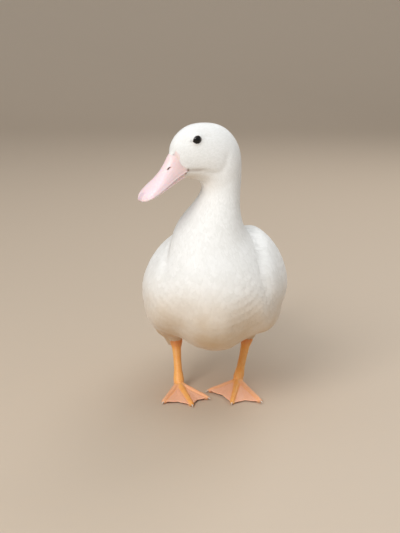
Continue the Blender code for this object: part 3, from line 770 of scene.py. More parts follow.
# Outlines of vanes: shares of the length and of the width, from root to tip
TUFT = ((0.0, 0.26), (0.3, 0.42), (0.6, 0.5), (0.85, 0.42), (1.0, 0.26))
CONTOUR = ((0.0, 0.18), (0.25, 0.36), (0.55, 0.48), (0.75, 0.5), (0.9, 0.44), (1.0, 0.34))
FLIGHT = ((0.0, 0.10), (0.08, 0.26), (0.3, 0.44), (0.6, 0.5), (0.9, 0.48), (0.97, 0.40), (1.0, 0.30))
POINTED = ((0.0, 0.10), (0.08, 0.26), (0.3, 0.42), (0.6, 0.5), (0.8, 0.44), (0.92, 0.30), (1.0, 0.12))
BLUNT = 0.22                # how far a vane's edges fall short of its tip
HELD_AWAY = 1.0
SETTLING = 1.4              # how soon a feather rises from its root's height to its tip's
STRETCH_LIMIT = (1.4, 2 * MM)       # a feather drawn out further than this by a grid's end is left out
PATCH = 0.003               # width of a feather's patch on its piece's OFBake map
BAKE_MARGIN = 0.01          # that map's bare margin
TRIES = 7                   # places tried for each one that strewn() keeps


def laid(lay, vane, rows, columns, length, width, *, turn, root, tip, seed, roll=0.0, thick=0.10 * MM,
         fray=0.03):
    """A batch of feathers along a lay: one at each place, root and tip at these heights over the surface."""
    rng = np.random.default_rng(seed)
    count = len(rows)
    length, width, turn, root, tip, roll = (
        np.broadcast_to(np.asarray(value, float), (count,))
        for value in (length, width, turn, root, tip, roll)
    )
    start, _, along, across = lay.at(rows, columns)
    front = unit(along)
    side = unit(across - front * dot(across, front)[:, None])
    lie = front * np.cos(turn)[:, None] + side * np.sin(turn)[:, None]
    beside = side * np.cos(turn)[:, None] - front * np.sin(turn)[:, None]
    share = vane.points[:, 0]
    ragged = rng.uniform(-1, 1, (count, len(share))) * (vane.rim * ease(share, 0.55, 0.9)) * fray
    x, y = (share + ragged) * length[:, None], vane.points[:, 1] * width[:, None]
    move = lie[:, None] * x[..., None] + beside[:, None] * y[..., None]
    # The move as rows and columns of the grid, whose two steps need not be square to each other
    e, f, g = dot(along, along), dot(along, across), dot(across, across)
    a, b = dot(move, along[:, None]), dot(move, across[:, None])
    whole = (e * g - f * f)[:, None]
    on_rows = rows[:, None] + (a * g[:, None] - b * f[:, None]) / whole
    on_columns = columns[:, None] + (b * e[:, None] - a * f[:, None]) / whole
    point, normal, _, _ = lay.at(on_rows, on_columns)
    rise = root[:, None] + (tip - root)[:, None] * (1 - (1 - share) ** SETTLING)
    height = rise + vane.points[:, 2] * width[:, None] - vane.under * thick
    height = height + roll[:, None] * vane.points[:, 1] * width[:, None]
    placed = point + normal * height[..., None]
    reach = np.linalg.norm(placed - start[:, None], axis=-1).max(1)
    sound = reach < STRETCH_LIMIT[0] * length + STRETCH_LIMIT[1]
    span = np.array(lay.points.shape[:2])
    return {
        "points": placed[sound],
        "faces": vane.faces[:, ::-1] if lay.mirrored else vane.faces,
        "vane": (np.stack([x, y], -1) / MM)[sound],
        "patch": vane.points[:, :2] - np.array([0.5, 0.0]),
        "root": np.stack([columns / span[1], rows / span[0]], -1)[sound],
        "shade": rng.uniform(0, 1, count)[sound],
    }


def coat_piece(name, batches):
    """One object from batches of feathers; on its OFBake map each is a small patch at its root's place."""
    points, faces, vanes, patches, shades, first = [], [], [], [], [], 0
    roots = np.concatenate([batch["root"] for batch in batches])
    low, high = roots.min(0), roots.max(0)
    for batch in batches:
        count, each = batch["points"].shape[:2]
        offsets = first + np.arange(count)[:, None, None] * each
        points.append(batch["points"].reshape(-1, 3))
        faces.append((batch["faces"][None] + offsets).reshape(-1, 4))
        vanes.append(batch["vane"].reshape(-1, 2))
        root = BAKE_MARGIN + (1 - 2 * BAKE_MARGIN) * (batch["root"] - low) / (high - low)
        patches.append((root[:, None] + batch["patch"][None] * PATCH).reshape(-1, 2))
        shades.append(np.repeat(batch["shade"], each))
        first += count * each
    points, faces = np.concatenate(points), np.concatenate(faces)
    mesh = bpy.data.meshes.new(name)
    mesh.vertices.add(len(points))
    mesh.vertices.foreach_set("co", points.astype(np.float32).ravel())
    mesh.loops.add(faces.size)
    mesh.loops.foreach_set("vertex_index", faces.ravel().astype(np.int32))
    mesh.polygons.add(len(faces))
    mesh.polygons.foreach_set("loop_start", np.arange(0, faces.size, 4, dtype=np.int32))
    mesh.update(calc_edges=True)
    for title, values in (("Vane", vanes), ("OFBake", patches)):
        corners = np.concatenate(values)[faces.ravel()].astype(np.float32)
        mesh.uv_layers.new(name=title).data.foreach_set("uv", corners.ravel())
    set_values(mesh, "shade", np.concatenate(shades))
    set_values(mesh, "cream_and_painted_shade", cream_and_painted_shade(points))
    set_values(mesh, "mouth_stain_and_fold_shade", mouth_stain_and_fold_shade(points))
    piece = bpy.data.objects.new(name, mesh)
    bpy.context.scene.collection.objects.link(piece)
    finish_piece(piece, bpy.context.scene["plumage"])
    mesh.set_sharp_from_angle(angle=math.radians(75))


def rowed(lay, first, last, exposure, beside, rng, unevenness=0.12):
    """Places in rows across a lay, as far apart as an exposed feather is long, staggered from row to row."""
    step = lay.stride.mean(1)
    run = np.concatenate([[0], np.cumsum((step[1:] + step[:-1]) / 2)])
    start, end = np.interp([first, last], range(len(run)), run)
    rows, columns = [], []
    for number, distance in enumerate(np.arange(start, end, exposure)):
        row = np.interp(distance, run, range(len(run)))
        width = np.linalg.norm(lay.fields[int(row), :, 9:12], axis=-1)
        if lay.closed:
            width = np.append(width, width[0])
        around = np.concatenate([[0], np.cumsum((width[1:] + width[:-1]) / 2)])
        count = max(3, round(around[-1] / beside))
        marks = (np.arange(count) + 0.5 * (number % 2) + rng.uniform(-1, 1, count) * unevenness) / count
        columns.append(np.interp(marks * around[-1], around, range(len(around))))
        rows.append(row + rng.uniform(-1, 1, count) * unevenness * exposure / step[int(row)])
    return np.concatenate(rows), np.concatenate(columns)


def strewn(lay, first, last, spacing, rng):
    """Places scattered evenly over a lay, no closer to each other than the spacing at each."""
    area = np.linalg.norm(np.cross(lay.fields[..., 6:9], lay.fields[..., 9:12]), axis=-1)
    low, high = int(first), int(math.ceil(last))
    patch = area[low:high]
    smallest = spacing(lay.points[low:high].reshape(-1, 3)).reshape(patch.shape)
    crowd = patch / smallest ** 2
    wanted, chance = int(crowd.sum() * TRIES), crowd.ravel()
    cell = rng.choice(chance.size, wanted, p=chance / chance.sum())
    rows = low + cell // patch.shape[1] + rng.uniform(0, 1, wanted)
    columns = cell % patch.shape[1] + rng.uniform(0, 1, wanted)
    rows = np.clip(rows, first, last)
    points = lay.at(rows, columns)[0]
    spaces = spacing(points)
    cells = np.floor(points / spaces.max()).astype(int)
    taken, kept = {}, []
    near = [(a, b, c) for a in (-1, 0, 1) for b in (-1, 0, 1) for c in (-1, 0, 1)]
    for k in range(wanted):
        x, y, z = points[k]
        p, q, r = cells[k]
        limit = spaces[k] ** 2
        crowded = any(
            (u - x) ** 2 + (v - y) ** 2 + (w - z) ** 2 < limit
            for a, b, c in near for u, v, w in taken.get((p + a, q + b, r + c), ())
        )
        if not crowded:
            taken.setdefault((p, q, r), []).append((x, y, z))
            kept.append(k)
    return rows[kept], columns[kept]


def cream_and_painted_shade(points):
    """Where the white plumage is painted creamy, partly a real cream tint and partly painted shade with the
    floor's warm bounce: under the chin, down the throat, and on breast and belly, more towards the bottom.
    """
    forward, _, up = in_head(points).T / MM
    # Painted shade: the chin's cream stands for shade under the jaw, and the belly's deepens towards the
    # ground for the floor's warm bounce
    chin = np.exp(-((forward - 2) / 16) ** 2 - ((up + 50) / 11) ** 2)
    belly = (1 - ease(points[:, 2] / MM, 75, 205)) * (1 - 0.8 * ease(points[:, 1] / MM, -5, 60))
    return np.clip(0.45 * chin + 0.96 * belly + 0.03, 0, 1)


def mouth_stain_and_fold_shade(points):
    """Where the plumage is brown: a short upright stain at each corner of the mouth, and a line of painted
    shade along the fold under the cheek, fading backwards.
    """
    u, left, v = in_bill(points).T / MM
    forward, _, up = in_head(points).T / MM
    corner = np.exp(-((u + 1.4) / 0.9) ** 2 - ((v - 2.2) / 2.2) ** 2)
    share = np.clip((9.0 - forward) / 24.0, 0, 1)
    # Painted shade in the fold between cheek and throat
    fold = np.exp(-((up + 36.0 + 2.5 * share - 5.0 * share ** 2) / 1.6) ** 2) * ease(12 - forward, 0, 3)
    return np.clip(0.75 * corner * (np.abs(left) > 6) + 0.38 * fold * (1 - ease(share, 0.4, 1.0)), 0, 1)


def line_of_bill(points):
    """How far in front of the feathers' edge on the bill a point lies, in mm; feathers grow below 0."""
    u, left, v = in_bill(points).T / MM
    side = np.interp(v, *BILL_EDGE)
    on_top = (1 - ease(np.abs(left), 2.0, 8.5)) * ease(v, 17, 22)
    return u - side - (BILL_EDGE_ON_TOP - side) * on_top


def eye_axis(side):
    """The direction in which an eye looks."""
    return (HEAD_LEFT * SIDES[side] + HEAD_FRONT * 0.10 + UP * 0.04).normalized()


def eye_directions(side):
    """An eye's own directions as arrays: to its right, up, and the way it looks."""
    axis = eye_axis(side)
    directions = UP.cross(axis).normalized(), axis.cross(UP.cross(axis)).normalized(), axis
    return [np.array(direction) for direction in directions]


def lid_edge(across, tall, side):
    """How far the lids' edge is from the eye's middle in a direction: an oval with a corner in front."""
    forward = across * -SIDES[side]
    angle = np.arctan2(tall, forward) + EYE_SLANT
    oval = 1 / np.hypot(np.cos(angle) / EYE_OPENING[0], np.sin(angle) / EYE_OPENING[1])
    return oval + EYE_CORNER * np.exp(-(angle / 0.22) ** 2)


def in_openings(points, limit):
    """True in the openings between the lids, whose edge is at a limit of 1."""
    inside = np.zeros(len(points), bool)
    for side, eye in EYES.items():
        offsets = points - np.array(eye)
        across, tall, ahead = (offsets @ direction for direction in eye_directions(side))
        share = np.where(ahead > 0, np.hypot(across, tall) / lid_edge(across, tall, side), OFF_EYE)
        inside |= (np.linalg.norm(offsets, axis=1) < EYE_REACH) & (share < limit)
    return inside


def bare_head(points):
    """True on the bill and in the openings of the eyes."""
    on_bill = (line_of_bill(points) > 0) & (in_bill(points)[:, 0] > -6 * MM)
    return on_bill | in_openings(points, 1.06)


class Plumage:
    """What the coat's operators share: the lays, made once."""

    body = None         # the lay from the bill to the tail
    cover = None        # which of its places lie on the wings
    wings = {}

    @classmethod
    def prepare(cls):
        """Makes the lays from the CAD frame."""
        if cls.body is None:
            form = body_form()
            cls.body = body_lay(form)
            discard(form)
            cls.wings.update((side, wing_lay(side)) for side in SIDES)
            cls.furrow()
        return cls

    @classmethod
    def furrow(cls):
        """Finds the places on the wings, and sinks a soft furrow before them, where the breast ends."""
        trees = [tree_of_nodes(node) for node in both_sides("wing_")]
        points = cls.body.points
        cover = np.zeros(points.shape[:2], bool)
        for i in range(rows_of(NECK_END) - 10, len(points)):
            for j in range(points.shape[1]):
                place = Vector(points[i, j])
                cover[i, j] = any(tree.find_nearest(place, WING_NEAR * MM)[0] for tree in trees)
        first = np.where(cover.any(0), cover.argmax(0), -99).astype(float)
        rows = np.arange(len(points))[:, None]
        stride = cls.body.stride / MM
        sunk = np.exp(-((rows - first[None] + 1) * stride / FURROW_WIDTH) ** 2) * (first > 0)[None]
        sunk = evened(sunk.transpose(1, 0), 6, closed=True).transpose(1, 0)
        cls.body = Lay(points - cls.body.normals * (sunk * FURROW_DEPTH * MM)[..., None], closed=True)
        run = np.cumsum(stride, axis=0)
        cover &= run > np.take_along_axis(run, cover.argmax(0)[None], 0) + COVER_START
        narrow = cover.copy()
        for _ in range(3):
            narrow &= np.roll(narrow, 1, 1) & np.roll(narrow, -1, 1)
        cover[:rows_of(WING_BACK)] = narrow[:rows_of(WING_BACK)]
        cls.cover = cover

    @classmethod
    def on_wing(cls, rows, columns):
        """True for places of the body's lay on a wing, well behind its front and inside its long edges."""
        high, wide = cls.cover.shape
        near_rows = np.clip(np.round(rows).astype(int), 0, high - 1)
        return cls.cover[near_rows, np.round(columns).astype(int) % wide]

    @classmethod
    def left_bare(cls, points):
        """True for places on the wings that the body's own feathers, which flow over them, leave bare."""
        flat = cls.body.points.reshape(-1, 3)
        nearest = np.array([((flat - point) ** 2).sum(1).argmin() for point in points])
        rows, columns = np.divmod(nearest, cls.body.points.shape[1])
        return cls.on_wing(rows + 6, columns)


def rows_of(place):
    """A place counted in sections, as a row of the body's lay."""
    return int(round(place * SECTION_STEPS))


# --- Settings ----------------------------------------------------------------------------------------------

def length_setting(name, description, millimetres):
    """A length that a user may change."""
    return bpy.props.FloatProperty(name=name, description=description, default=millimetres * MM, min=0.1 * MM,
                                   unit="LENGTH", precision=5)


def colour_setting(name, description, code):
    """A colour that a user may change."""
    return bpy.props.FloatVectorProperty(name=name, description=description, default=linear(code), size=4,
                                         min=0.0, max=1.0, subtype="COLOR")


class DuckSizes(bpy.types.PropertyGroup):
    """Sizes of skin and feathers."""

    body_voxel: length_setting("Body skin cell", "Edge of the skin's faces on the body", 2.6)
    foot_voxel: length_setting("Foot skin cell", "Edge of the skin's faces on legs and feet", 0.75)
    head_space: length_setting("Head feather spacing", "Distance between the roots of head feathers", 1.04)
    neck_space: length_setting("Neck feather spacing", "Distance between the roots of neck feathers", 1.4)
    breast_row: length_setting("Breast row", "Length of a breast feather that shows", 4.8)
    covert_row: length_setting("Covert row", "Length of a small wing covert that shows", 5.4)


class DuckColours(bpy.types.PropertyGroup):
    """Colours of plumage, horn and skin."""

    plumage_white: colour_setting("Plumage", "White feather vanes", "#F9F9F7")
    plumage_shade: colour_setting("Plumage variation", "Slightly greyer vanes among the white", "#F0F0ED")
    # Also paints the shade in the fold under the cheek
    mouth_stain_and_fold_shade: colour_setting("Stain", "Brown feathers at the corner of the mouth", "#8A6A58")
    # Partly a real cream tint, partly painted shade and warm floor bounce under the chin and low on the body
    plumage_cream_shade: colour_setting("Cream plumage", "Warmer feathers of throat and belly", "#D6BA94")
    lid: colour_setting("Eyelid", "Edge of the eyelids", "#D9CCC6")
    bill_pink: colour_setting("Bill", "Bill sheath", "#FBE1E6")
    bill_rose: colour_setting("Bill base", "Rosier sheath near the face", "#F3D8D5")
    bill_lilac: colour_setting("Bill nail", "Greyish lilac tip", "#E6CDD5")
    # Paler along the bill's edge
    bill_rim: colour_setting("Bill rim", "Pale worn edge", "#FBEFEC")
    # Painted shade inside the nostrils
    nostril_shade: colour_setting("Nostril", "Inside of the nostrils", "#5A2A22")
    leg_orange: colour_setting("Leg", "Scaly skin of legs and toes", "#FFA83E")
    leg_yellow: colour_setting("Leg highlights", "Yellower patches of the legs", "#FFC980")
    leg_red: colour_setting("Hock", "Redder skin at the joints", "#EB9854")
    # Painted shade in the crevices between the scales
    leg_crevice_shade: colour_setting("Leg creases", "Crevices between scales", "#D98440")
    web_salmon: colour_setting("Web", "Thin skin between the toes", "#FFC3A2")
    claw_pale: colour_setting("Claw", "Upper side of the claws", "#EFE3D6")
    claw_horn: colour_setting("Claw horn", "Darker streaks of the claws", "#D8C2AE")
    # Painted shade on the claws' downward-facing side
    claw_underside_shade: colour_setting("Claw underside", "Worn and dirty underside", "#3B2A20")
    iris: colour_setting("Iris", "Dark brown iris", "#140C08")
    eye_black: colour_setting("Pupil", "Pupil and rim of the eye", "#050505")
    floor: colour_setting("Floor", "Painted studio floor", "#CDBBA6")


# --- Pieces ------------------------------------------------------------------------------------------------

def toe_lines(side):
    """The start and end of each toe's middle line."""
    ankle = joint(side, "ankle")
    start, lines = Vector((ankle.x, ankle.y, ANKLE_HEIGHT)), {}
    for name, (x, y) in TOES[side].items():
        height = HIND_TOE_HEIGHT if name == "hind" else TOE_HEIGHT
        lines[name] = start, Vector((ankle.x + x * MM, ankle.y + y * MM, height))
    return lines


def scaled_leg(side, voxel):
    """Shank and foot melted together, with knuckles, plates across toes and shank, and a creased web."""
    leg = fused(copy_of(["shank_" + side, "foot_" + side], "leg_" + side), voxel, smooth=2, grow=0.28 * MM)
    points, normals = points_of(leg)
    ankle, hock = np.array(joint(side, "ankle")), np.array(joint(side, "hock"))
    z = points[:, 2]
    out = np.linalg.norm(points[:, :2] - ankle[:2], axis=1) / MM
    nearest = np.full(len(points), 1e9)
    lift, on_toe, knuckle, salmon = (np.zeros(len(points)) for _ in range(4))
    pull = np.zeros((len(points), 3))
    for name, (start, end) in toe_lines(side).items():
        start, end = np.array(start), np.array(end)
        length = np.linalg.norm(end - start)
        axis = (end - start) / length
        share = np.clip((points - start) @ axis / length, 0, 1)
        along = share * length / MM
        away = points - start - np.outer(share * length, axis)
        thick = np.interp(share, *TOE_RADII) * (HIND_TOE if name == "hind" else 1) * MM
        near = np.linalg.norm(away[:, :2], axis=1) / thick
        swell = sum(np.exp(-((share - at) * length / (3.0 * MM)) ** 2) for at in TOE_JOINTS[name])
        plates = np.abs(np.sin(along * math.pi / 2.3)) ** 0.7 - 0.7
        within = 1 - ease(near, 0.75, 1.15)
        taper = 0.30 * ease(along, length / MM - 6.0, length / MM)
        slim = 0.30 if name in ("middle", "hind") else 0.75
        rise = within * (0.22 * swell - slim + 0.10 * plates * ease(normals[:, 2], -0.1, 0.5))
        first = near < nearest
        pull = np.where(first[:, None], -away * (taper * within)[:, None], pull)
        lift = np.where(first, rise, lift)
        knuckle = np.where(first, swell * within, knuckle)
        on_toe = np.maximum(on_toe, within)
        if name in ("outer", "inner"):
            salmon = np.maximum(salmon, within * ease(along, 4, 16))
        nearest = np.minimum(nearest, near)
    shank = ease(z, 10.5 * MM, 16 * MM)
    foot = 1 - shank
    rings = np.abs(np.sin(z / MM * math.pi / 3.2)) ** 0.5 - 0.75
    ahead = ease(-normals[:, 1], 0.1, 0.7)
    moved = points + normals * ((foot * lift + shank * 0.24 * rings * ahead) * MM * (z > 0.15 * MM))[:, None]
    moved += pull * foot[:, None]
    # The web hangs between the toes at the height of their middles and slopes from the ankle to its edge
    web = (1 - on_toe) * foot * (points[:, 1] < ankle[1] + 3 * MM)
    bearing = np.arctan2(points[:, 0] - ankle[0], ankle[1] - points[:, 1])
    ripple = 0.10 * np.sin(bearing * 34 + np.sin(out * 0.35))
    ripple += 0.05 * np.sin(out * 0.9 + 1.7 * np.sin(bearing * 7))
    slope = np.interp(out, (0, 12, 30, 70), (9.5, 9.0, 6.4, 3.2))
    above = slope - 1.3 * ease(nearest, 1.0, 3.5) + ripple * ease(nearest, 0.9, 1.6)
    layer = np.clip(z / (1.8 * MM), 0, 1)
    hung = (above - 1.5 * (1 - layer)) * MM
    hold = web * ease(out, 7, 15)
    moved[:, 2] = np.maximum(moved[:, 2] * (1 - hold) + hung * hold, 0)
    set_points(leg, moved)
    set_values(leg.data, "leg", np.ones(len(points)))
    set_values(leg.data, "web", np.maximum(web, 0.7 * salmon * foot))
    red = np.maximum(ease(z, hock[2] - 16 * MM, hock[2] - 4 * MM), 0.2 * np.clip(knuckle, 0, 1) * foot)
    set_values(leg.data, "joint", red)
    return leg


def eyelids(side):
    """The lids of an open eye: a thin shell on the eyeball from the rim of the opening back into the head."""
    middle, (right, above, axis) = np.array(EYES[side]), eye_directions(side)
    bpy.ops.object.select_all(action="DESELECT")
    bpy.ops.mesh.primitive_torus_add(
        location=EYES[side], rotation=eye_axis(side).to_track_quat("Z", "Y").to_euler(),
        major_segments=96, minor_segments=24, major_radius=EYE_RADIUS, minor_radius=EYE_RADIUS / 3,
    )
    lids = bpy.context.object
    apply_place(lids)
    offset = points_of(lids)[0] - middle
    across, tall, ahead = offset @ right, offset @ above, offset @ axis
    level = np.hypot(across, tall)
    wide, high = across / level, tall / level
    # 0 at the ring's inner side and half a turn at its outer side
    turn = np.arctan2(ahead, EYE_RADIUS - level)
    share = np.abs(turn) / math.pi
    rim = np.arcsin(np.clip(lid_edge(wide, high, side) / EYE_RADIUS, 0, 1))
    angle = rim + (LID_BACK - rim) * share
    radius = EYE_RADIUS + (0.10 + 0.28 * (ahead > 0) * ease(share, 0.0, 0.08)) * MM
    radius = np.where(share < 0.02, EYE_RADIUS + 0.18 * MM, radius)
    flat = np.outer(wide, right) + np.outer(high, above)
    shell = flat * np.sin(angle)[:, None] + np.outer(np.cos(angle), axis)
    set_points(lids, middle + shell * radius[:, None])
    set_values(lids.data, "lid", 1 - ease(share, 0.05, 0.12))
    edit(lids, normals_make_consistent={"inside": False})
    return lids


def kept_under(points, normals, lay, chosen):
    """Points, with the chosen ones moved in to where a lay's feathers cover them."""
    high, wide = lay.points.shape[:2]
    near = np.arange((high - 1) * wide).reshape(high - 1, wide)
    beyond = np.roll(near, -1, 1)
    faces = np.stack([near, beyond, beyond + wide, near + wide], -1).reshape(-1, 4)
    tree = BVHTree.FromPolygons(lay.points.reshape(-1, 3).tolist(), faces.tolist())
    for k in np.flatnonzero(chosen):
        place = Vector(points[k])
        close, normal, _, _ = tree.find_nearest(place)
        out = normal if normal.dot(Vector(normals[k])) > 0 else -normal
        points[k] -= np.array(out) * max(0.0, (place - close).dot(out) + SHOULDER_DEPTH * MM)
    return points


class DUCK_OT_skin(bpy.types.Operator):
    """Builds one skin for all the flesh: it lies under the plumage and shows on lids, legs and feet."""

    bl_idname = "duck.skin"
    bl_label = "Skin"

    def execute(self, context):
        sizes = context.scene.duck_sizes
        flesh = ["head", "neck", "trunk", "tail"] + both_sides("wing_", "thigh_")
        fillers = []
        for side, eye in EYES.items():
            bpy.ops.object.select_all(action="DESELECT")
            bpy.ops.mesh.primitive_uv_sphere_add(
                segments=32, ring_count=16, radius=EYE_RADIUS, location=eye - eye_axis(side) * 2.6 * MM
            )
            fillers.append(bpy.context.object)
        skin = fused(join(copy_of(flesh, "skin"), *fillers), sizes.body_voxel, smooth=3, grow=0.5 * MM)
        points, normals = points_of(skin)
        depth = HEAD_SKIN_DEPTH + BODY_SKIN_DEEPER * (1 - ease(points[:, 2] / MM, 225, 310))
        depth *= (1 - 0.4 * ease(points[:, 1] / MM, 105, 170)) * (1 - 0.4 * edge_nearness(points))
        points -= normals * (depth * MM + crease(points))[:, None]
        shoulder = (np.abs(points[:, 0] - BODY_MIDDLE) > 30 * MM) & (points[:, 1] < 40 * MM)
        shoulder &= (points[:, 2] > 110 * MM) & (points[:, 2] < 270 * MM)
        set_points(skin, kept_under(points, normals, Plumage.prepare().body, shoulder))
        legs = [scaled_leg(side, sizes.foot_voxel) for side in SIDES]
        for part in legs + [eyelids(side) for side in SIDES]:
            modify(skin, "BOOLEAN", operation="UNION", solver="MANIFOLD", object=part)
            discard(part)
        points = points_of(skin)[0]
        set_values(skin.data, "cream_and_painted_shade", cream_and_painted_shade(points))
        set_values(skin.data, "mouth_stain_and_fold_shade", mouth_stain_and_fold_shade(points))
        on_face = (in_bill(points)[:, 0] > -9 * MM) & (in_bill(points)[:, 2] > -4 * MM)
        set_values(skin.data, "cere", 0.8 * ease(line_of_bill(points), -1.6, -0.2) * on_face)
        finish_piece(skin, skin_material(context.scene.duck_colours),
                     flesh + both_sides("shank_", "foot_"))
        return {"FINISHED"}


class DUCK_OT_bill(bpy.types.Operator):
    """Builds the two halves of the bill, with rim, nail and nostrils."""

    bl_idname = "duck.bill"
    bl_label = "Bill"

    def execute(self, context):
        material = bill_material(context.scene.duck_colours)
        for half, voxel, drawn_back in (("upper", 0.65, 1.5), ("lower", 0.85, 0.6)):
            node = "bill_" + half
            bill = fused(copy_of([node], node + "_sheath"), voxel * MM, smooth=3)
            points, normals = points_of(bill)
            u, left, v = in_bill(points).T / MM
            move, dark, nail = (np.zeros(len(points)) for _ in range(3))
            if half == "upper":
                outer = ease(normals @ np.array(BILL_UP), -0.3, 0.1)
                lip, groove = np.exp(-((v - 0.8) / 0.9) ** 2), np.exp(-((v - 2.9) / 1.0) ** 2)
                move += outer * (0.22 * lip - 0.14 * groove)
                disc = ((u - NAIL_MIDDLE) / 5.0) ** 2 + (left / 5.2) ** 2
                nail = outer * (1 - ease(disc, 0.75, 1.15))
                move += 0.35 * nail - 0.22 * outer * np.exp(-((disc - 1.2) / 0.22) ** 2)
                slant = v - NOSTRIL[1] + (u - NOSTRIL[0]) * 0.10
                slit = ((u - NOSTRIL[0]) / 2.8) ** 2 + (slant / 1.05) ** 2
                # Painted shade fills the inside of each nostril
                dark = (1 - ease(slit, 0.35, 1.25)) * (np.abs(left) > 3)
                lips = np.exp(-((slit - 2.2) / 0.8) ** 2) * (np.abs(left) > 3)
                move += 0.18 * lips - 0.9 * dark
            # The sheath's rear edge is drawn back and out, under the face's feathers
            stretch = np.clip(6.0 - u, 0, 3.5) * drawn_back
            moved = points + normals * (move * MM)[:, None] - np.outer(stretch * MM, BILL_ALONG)
            moved += np.outer(left * 0.07 * ease(6.0 - u, 0, 5) * MM, HEAD_LEFT)
            set_points(bill, moved)
            for name, values in (("along", u - stretch), ("height", v if half == "upper" else -v + 1.5),
                                 ("nail", nail), ("dark", dark)):
                set_values(bill.data, name, values)
            finish_piece(bill, material, [node])
        return {"FINISHED"}


class DUCK_OT_eyes(bpy.types.Operator):
    """Builds the eyeballs, each with a bulging cornea over iris and pupil."""

    bl_idname = "duck.eyes"
    bl_label = "Eyes"

    def execute(self, context):
        material = eye_material(context.scene.duck_colours)
        for side, middle in EYES.items():
            axis = eye_axis(side)
            bpy.ops.object.select_all(action="DESELECT")
            bpy.ops.mesh.primitive_uv_sphere_add(
                segments=64, ring_count=40, radius=EYE_RADIUS, location=middle,
                rotation=axis.to_track_quat("Z", "Y").to_euler(),
            )
            eye = bpy.context.object
            eye.name = eye.data.name = "eyeball_" + side
            apply_place(eye)
            points = points_of(eye)[0]
            offset = points - np.array(middle)
            ahead = offset @ np.array(axis)
            ring = np.linalg.norm(offset - np.outer(ahead, axis), axis=1) / MM
            bulge = 0.30 * MM * (1 - ease(ring, 0.0, 4.2)) * (ahead > 0)
            set_points(eye, points + np.outer(bulge, axis))
            set_values(eye.data, "ring", np.where(ahead > 0, ring, OFF_EYE))
            finish_piece(eye, material, ["eye_" + side])
        return {"FINISHED"}


class DUCK_OT_claws(bpy.types.Operator):
    """Builds the claws, each sunk a little into its toe."""

    bl_idname = "duck.claws"
    bl_label = "Claws"

    def execute(self, context):
        material = claw_material(context.scene.duck_colours)
        for side in SIDES:
            for toe, (start, end) in toe_lines(side).items():
                node = "claw_" + side + "_" + toe
                claw = copy_of([node], "horn_" + side + "_" + toe)
                heading, tip = np.array((end - start).normalized()), np.array(end)
                offset = points_of(claw)[0] - tip
                back = 1.8 * (1 - ease(offset @ heading / MM, 0.4, 2.2))
                set_points(claw, tip + offset * CLAW_SCALE - np.outer(back * MM, heading))
                modify(claw, "SUBSURF", levels=2, render_levels=2)
                # Painted shade: marks the side of each claw that faces down
                set_values(claw.data, "under", ease(-points_of(claw)[1][:, 2], -0.35, 0.35))
                finish_piece(claw, material, [node])
        return {"FINISHED"}


def edge_nearness(points):
    """1 at the edges of bill and eyes, 0 well away from them."""
    away = np.full(len(points), 1e9)
    for eye in EYES.values():
        away = np.minimum(away, np.linalg.norm(points - np.array(eye), axis=1) / MM - 6.0)
    on_face = in_bill(points)[:, 0] > -30 * MM
    return 1 - ease(np.minimum(away, np.where(on_face, np.abs(line_of_bill(points)), 1e9)), 1.0, 13.0)


class DUCK_OT_head_coat(bpy.types.Operator):
    """Lays the short velvety feathers of the head, smallest round bill and eyes."""

    bl_idname = "duck.head_coat"
    bl_label = "Head feathers"

    def execute(self, context):
        lay = Plumage.prepare().body
        rng = np.random.default_rng(11)
        space = context.scene.duck_sizes.head_space
        vane = Vane("head_vane", 2, 2, TUFT, 0.03)
        rows, columns = strewn(lay, 0, rows_of(NAPE), lambda p: space * (1 - 0.36 * edge_nearness(p)), rng)
        points, _, along, across = lay.at(rows, columns)
        front, beside = unit(along), unit(across)
        near = edge_nearness(points)
        length = (5.8 - 3.2 * near) * MM * rng.uniform(0.88, 1.12, len(rows))
        turn = rng.normal(0, 0.13, len(rows))
        # A feather that would reach over an eye is turned round it; one that still touches it is left out
        for eye in EYES.values():
            offset = points - np.array(eye)
            ahead, aside = -dot(offset, front) / MM, dot(offset, beside) / MM
            close = np.exp(-((ahead - 6) / 5) ** 2 - (aside / 6) ** 2)
            turn = turn + 0.9 * (close * (np.linalg.norm(offset, axis=1) < 18 * MM)) * np.sign(aside)
        kept = ~bare_head(points)
        rows, columns, near, length, turn = (value[kept] for value in (rows, columns, near, length, turn))
        batch = laid(lay, vane, rows, columns, length, length * 0.5, turn=turn,
                     root=-(0.34 - 0.16 * near) * MM, tip=rng.uniform(0.0, 0.04, len(rows)) * MM,
                     thick=0.05 * MM, fray=0.06, seed=12)
        flat, shape = batch["points"].reshape(-1, 3), batch["points"].shape[:2]
        clear = ~bare_head(flat).reshape(shape).any(1) | (line_of_bill(batch["points"].mean(1)) > -2.5)
        clear &= ~in_openings(flat, 1.0).reshape(shape).any(1)
        for key in ("points", "vane", "root", "shade"):
            batch[key] = batch[key][clear]
        coat_piece("coat_head", [batch])
        return {"FINISHED"}


class DUCK_OT_neck_coat(bpy.types.Operator):
    """Lays the fine feathers of the neck."""

    bl_idname = "duck.neck_coat"
    bl_label = "Neck feathers"

    def execute(self, context):
        lay = Plumage.prepare().body
        rng = np.random.default_rng(21)
        space = context.scene.duck_sizes.neck_space
        vane = Vane("neck_vane", 3, 2, TUFT, 0.03)
        rows, columns = strewn(lay, rows_of(NAPE) - 8, rows_of(NECK_END),
                               lambda p: space * (0.85 + 0.75 * (1 - ease(p[:, 2] / MM, 225, 300))), rng)
        lower = 1 - ease(lay.at(rows, columns)[0][:, 2] / MM, 215, 305)
        length = (5.6 + 9.0 * lower) * MM * rng.uniform(0.88, 1.12, len(rows))
        batch = laid(lay, vane, rows, columns, length, length * (0.50 + 0.05 * lower),
                     turn=rng.normal(0, 0.09, len(rows)), root=-(0.36 + 0.40 * lower) * MM,
                     tip=rng.uniform(0.0, 0.05, len(rows)) * MM, thick=0.06 * MM, fray=0.05, seed=22)
        coat_piece("coat_neck", [batch])
        return {"FINISHED"}


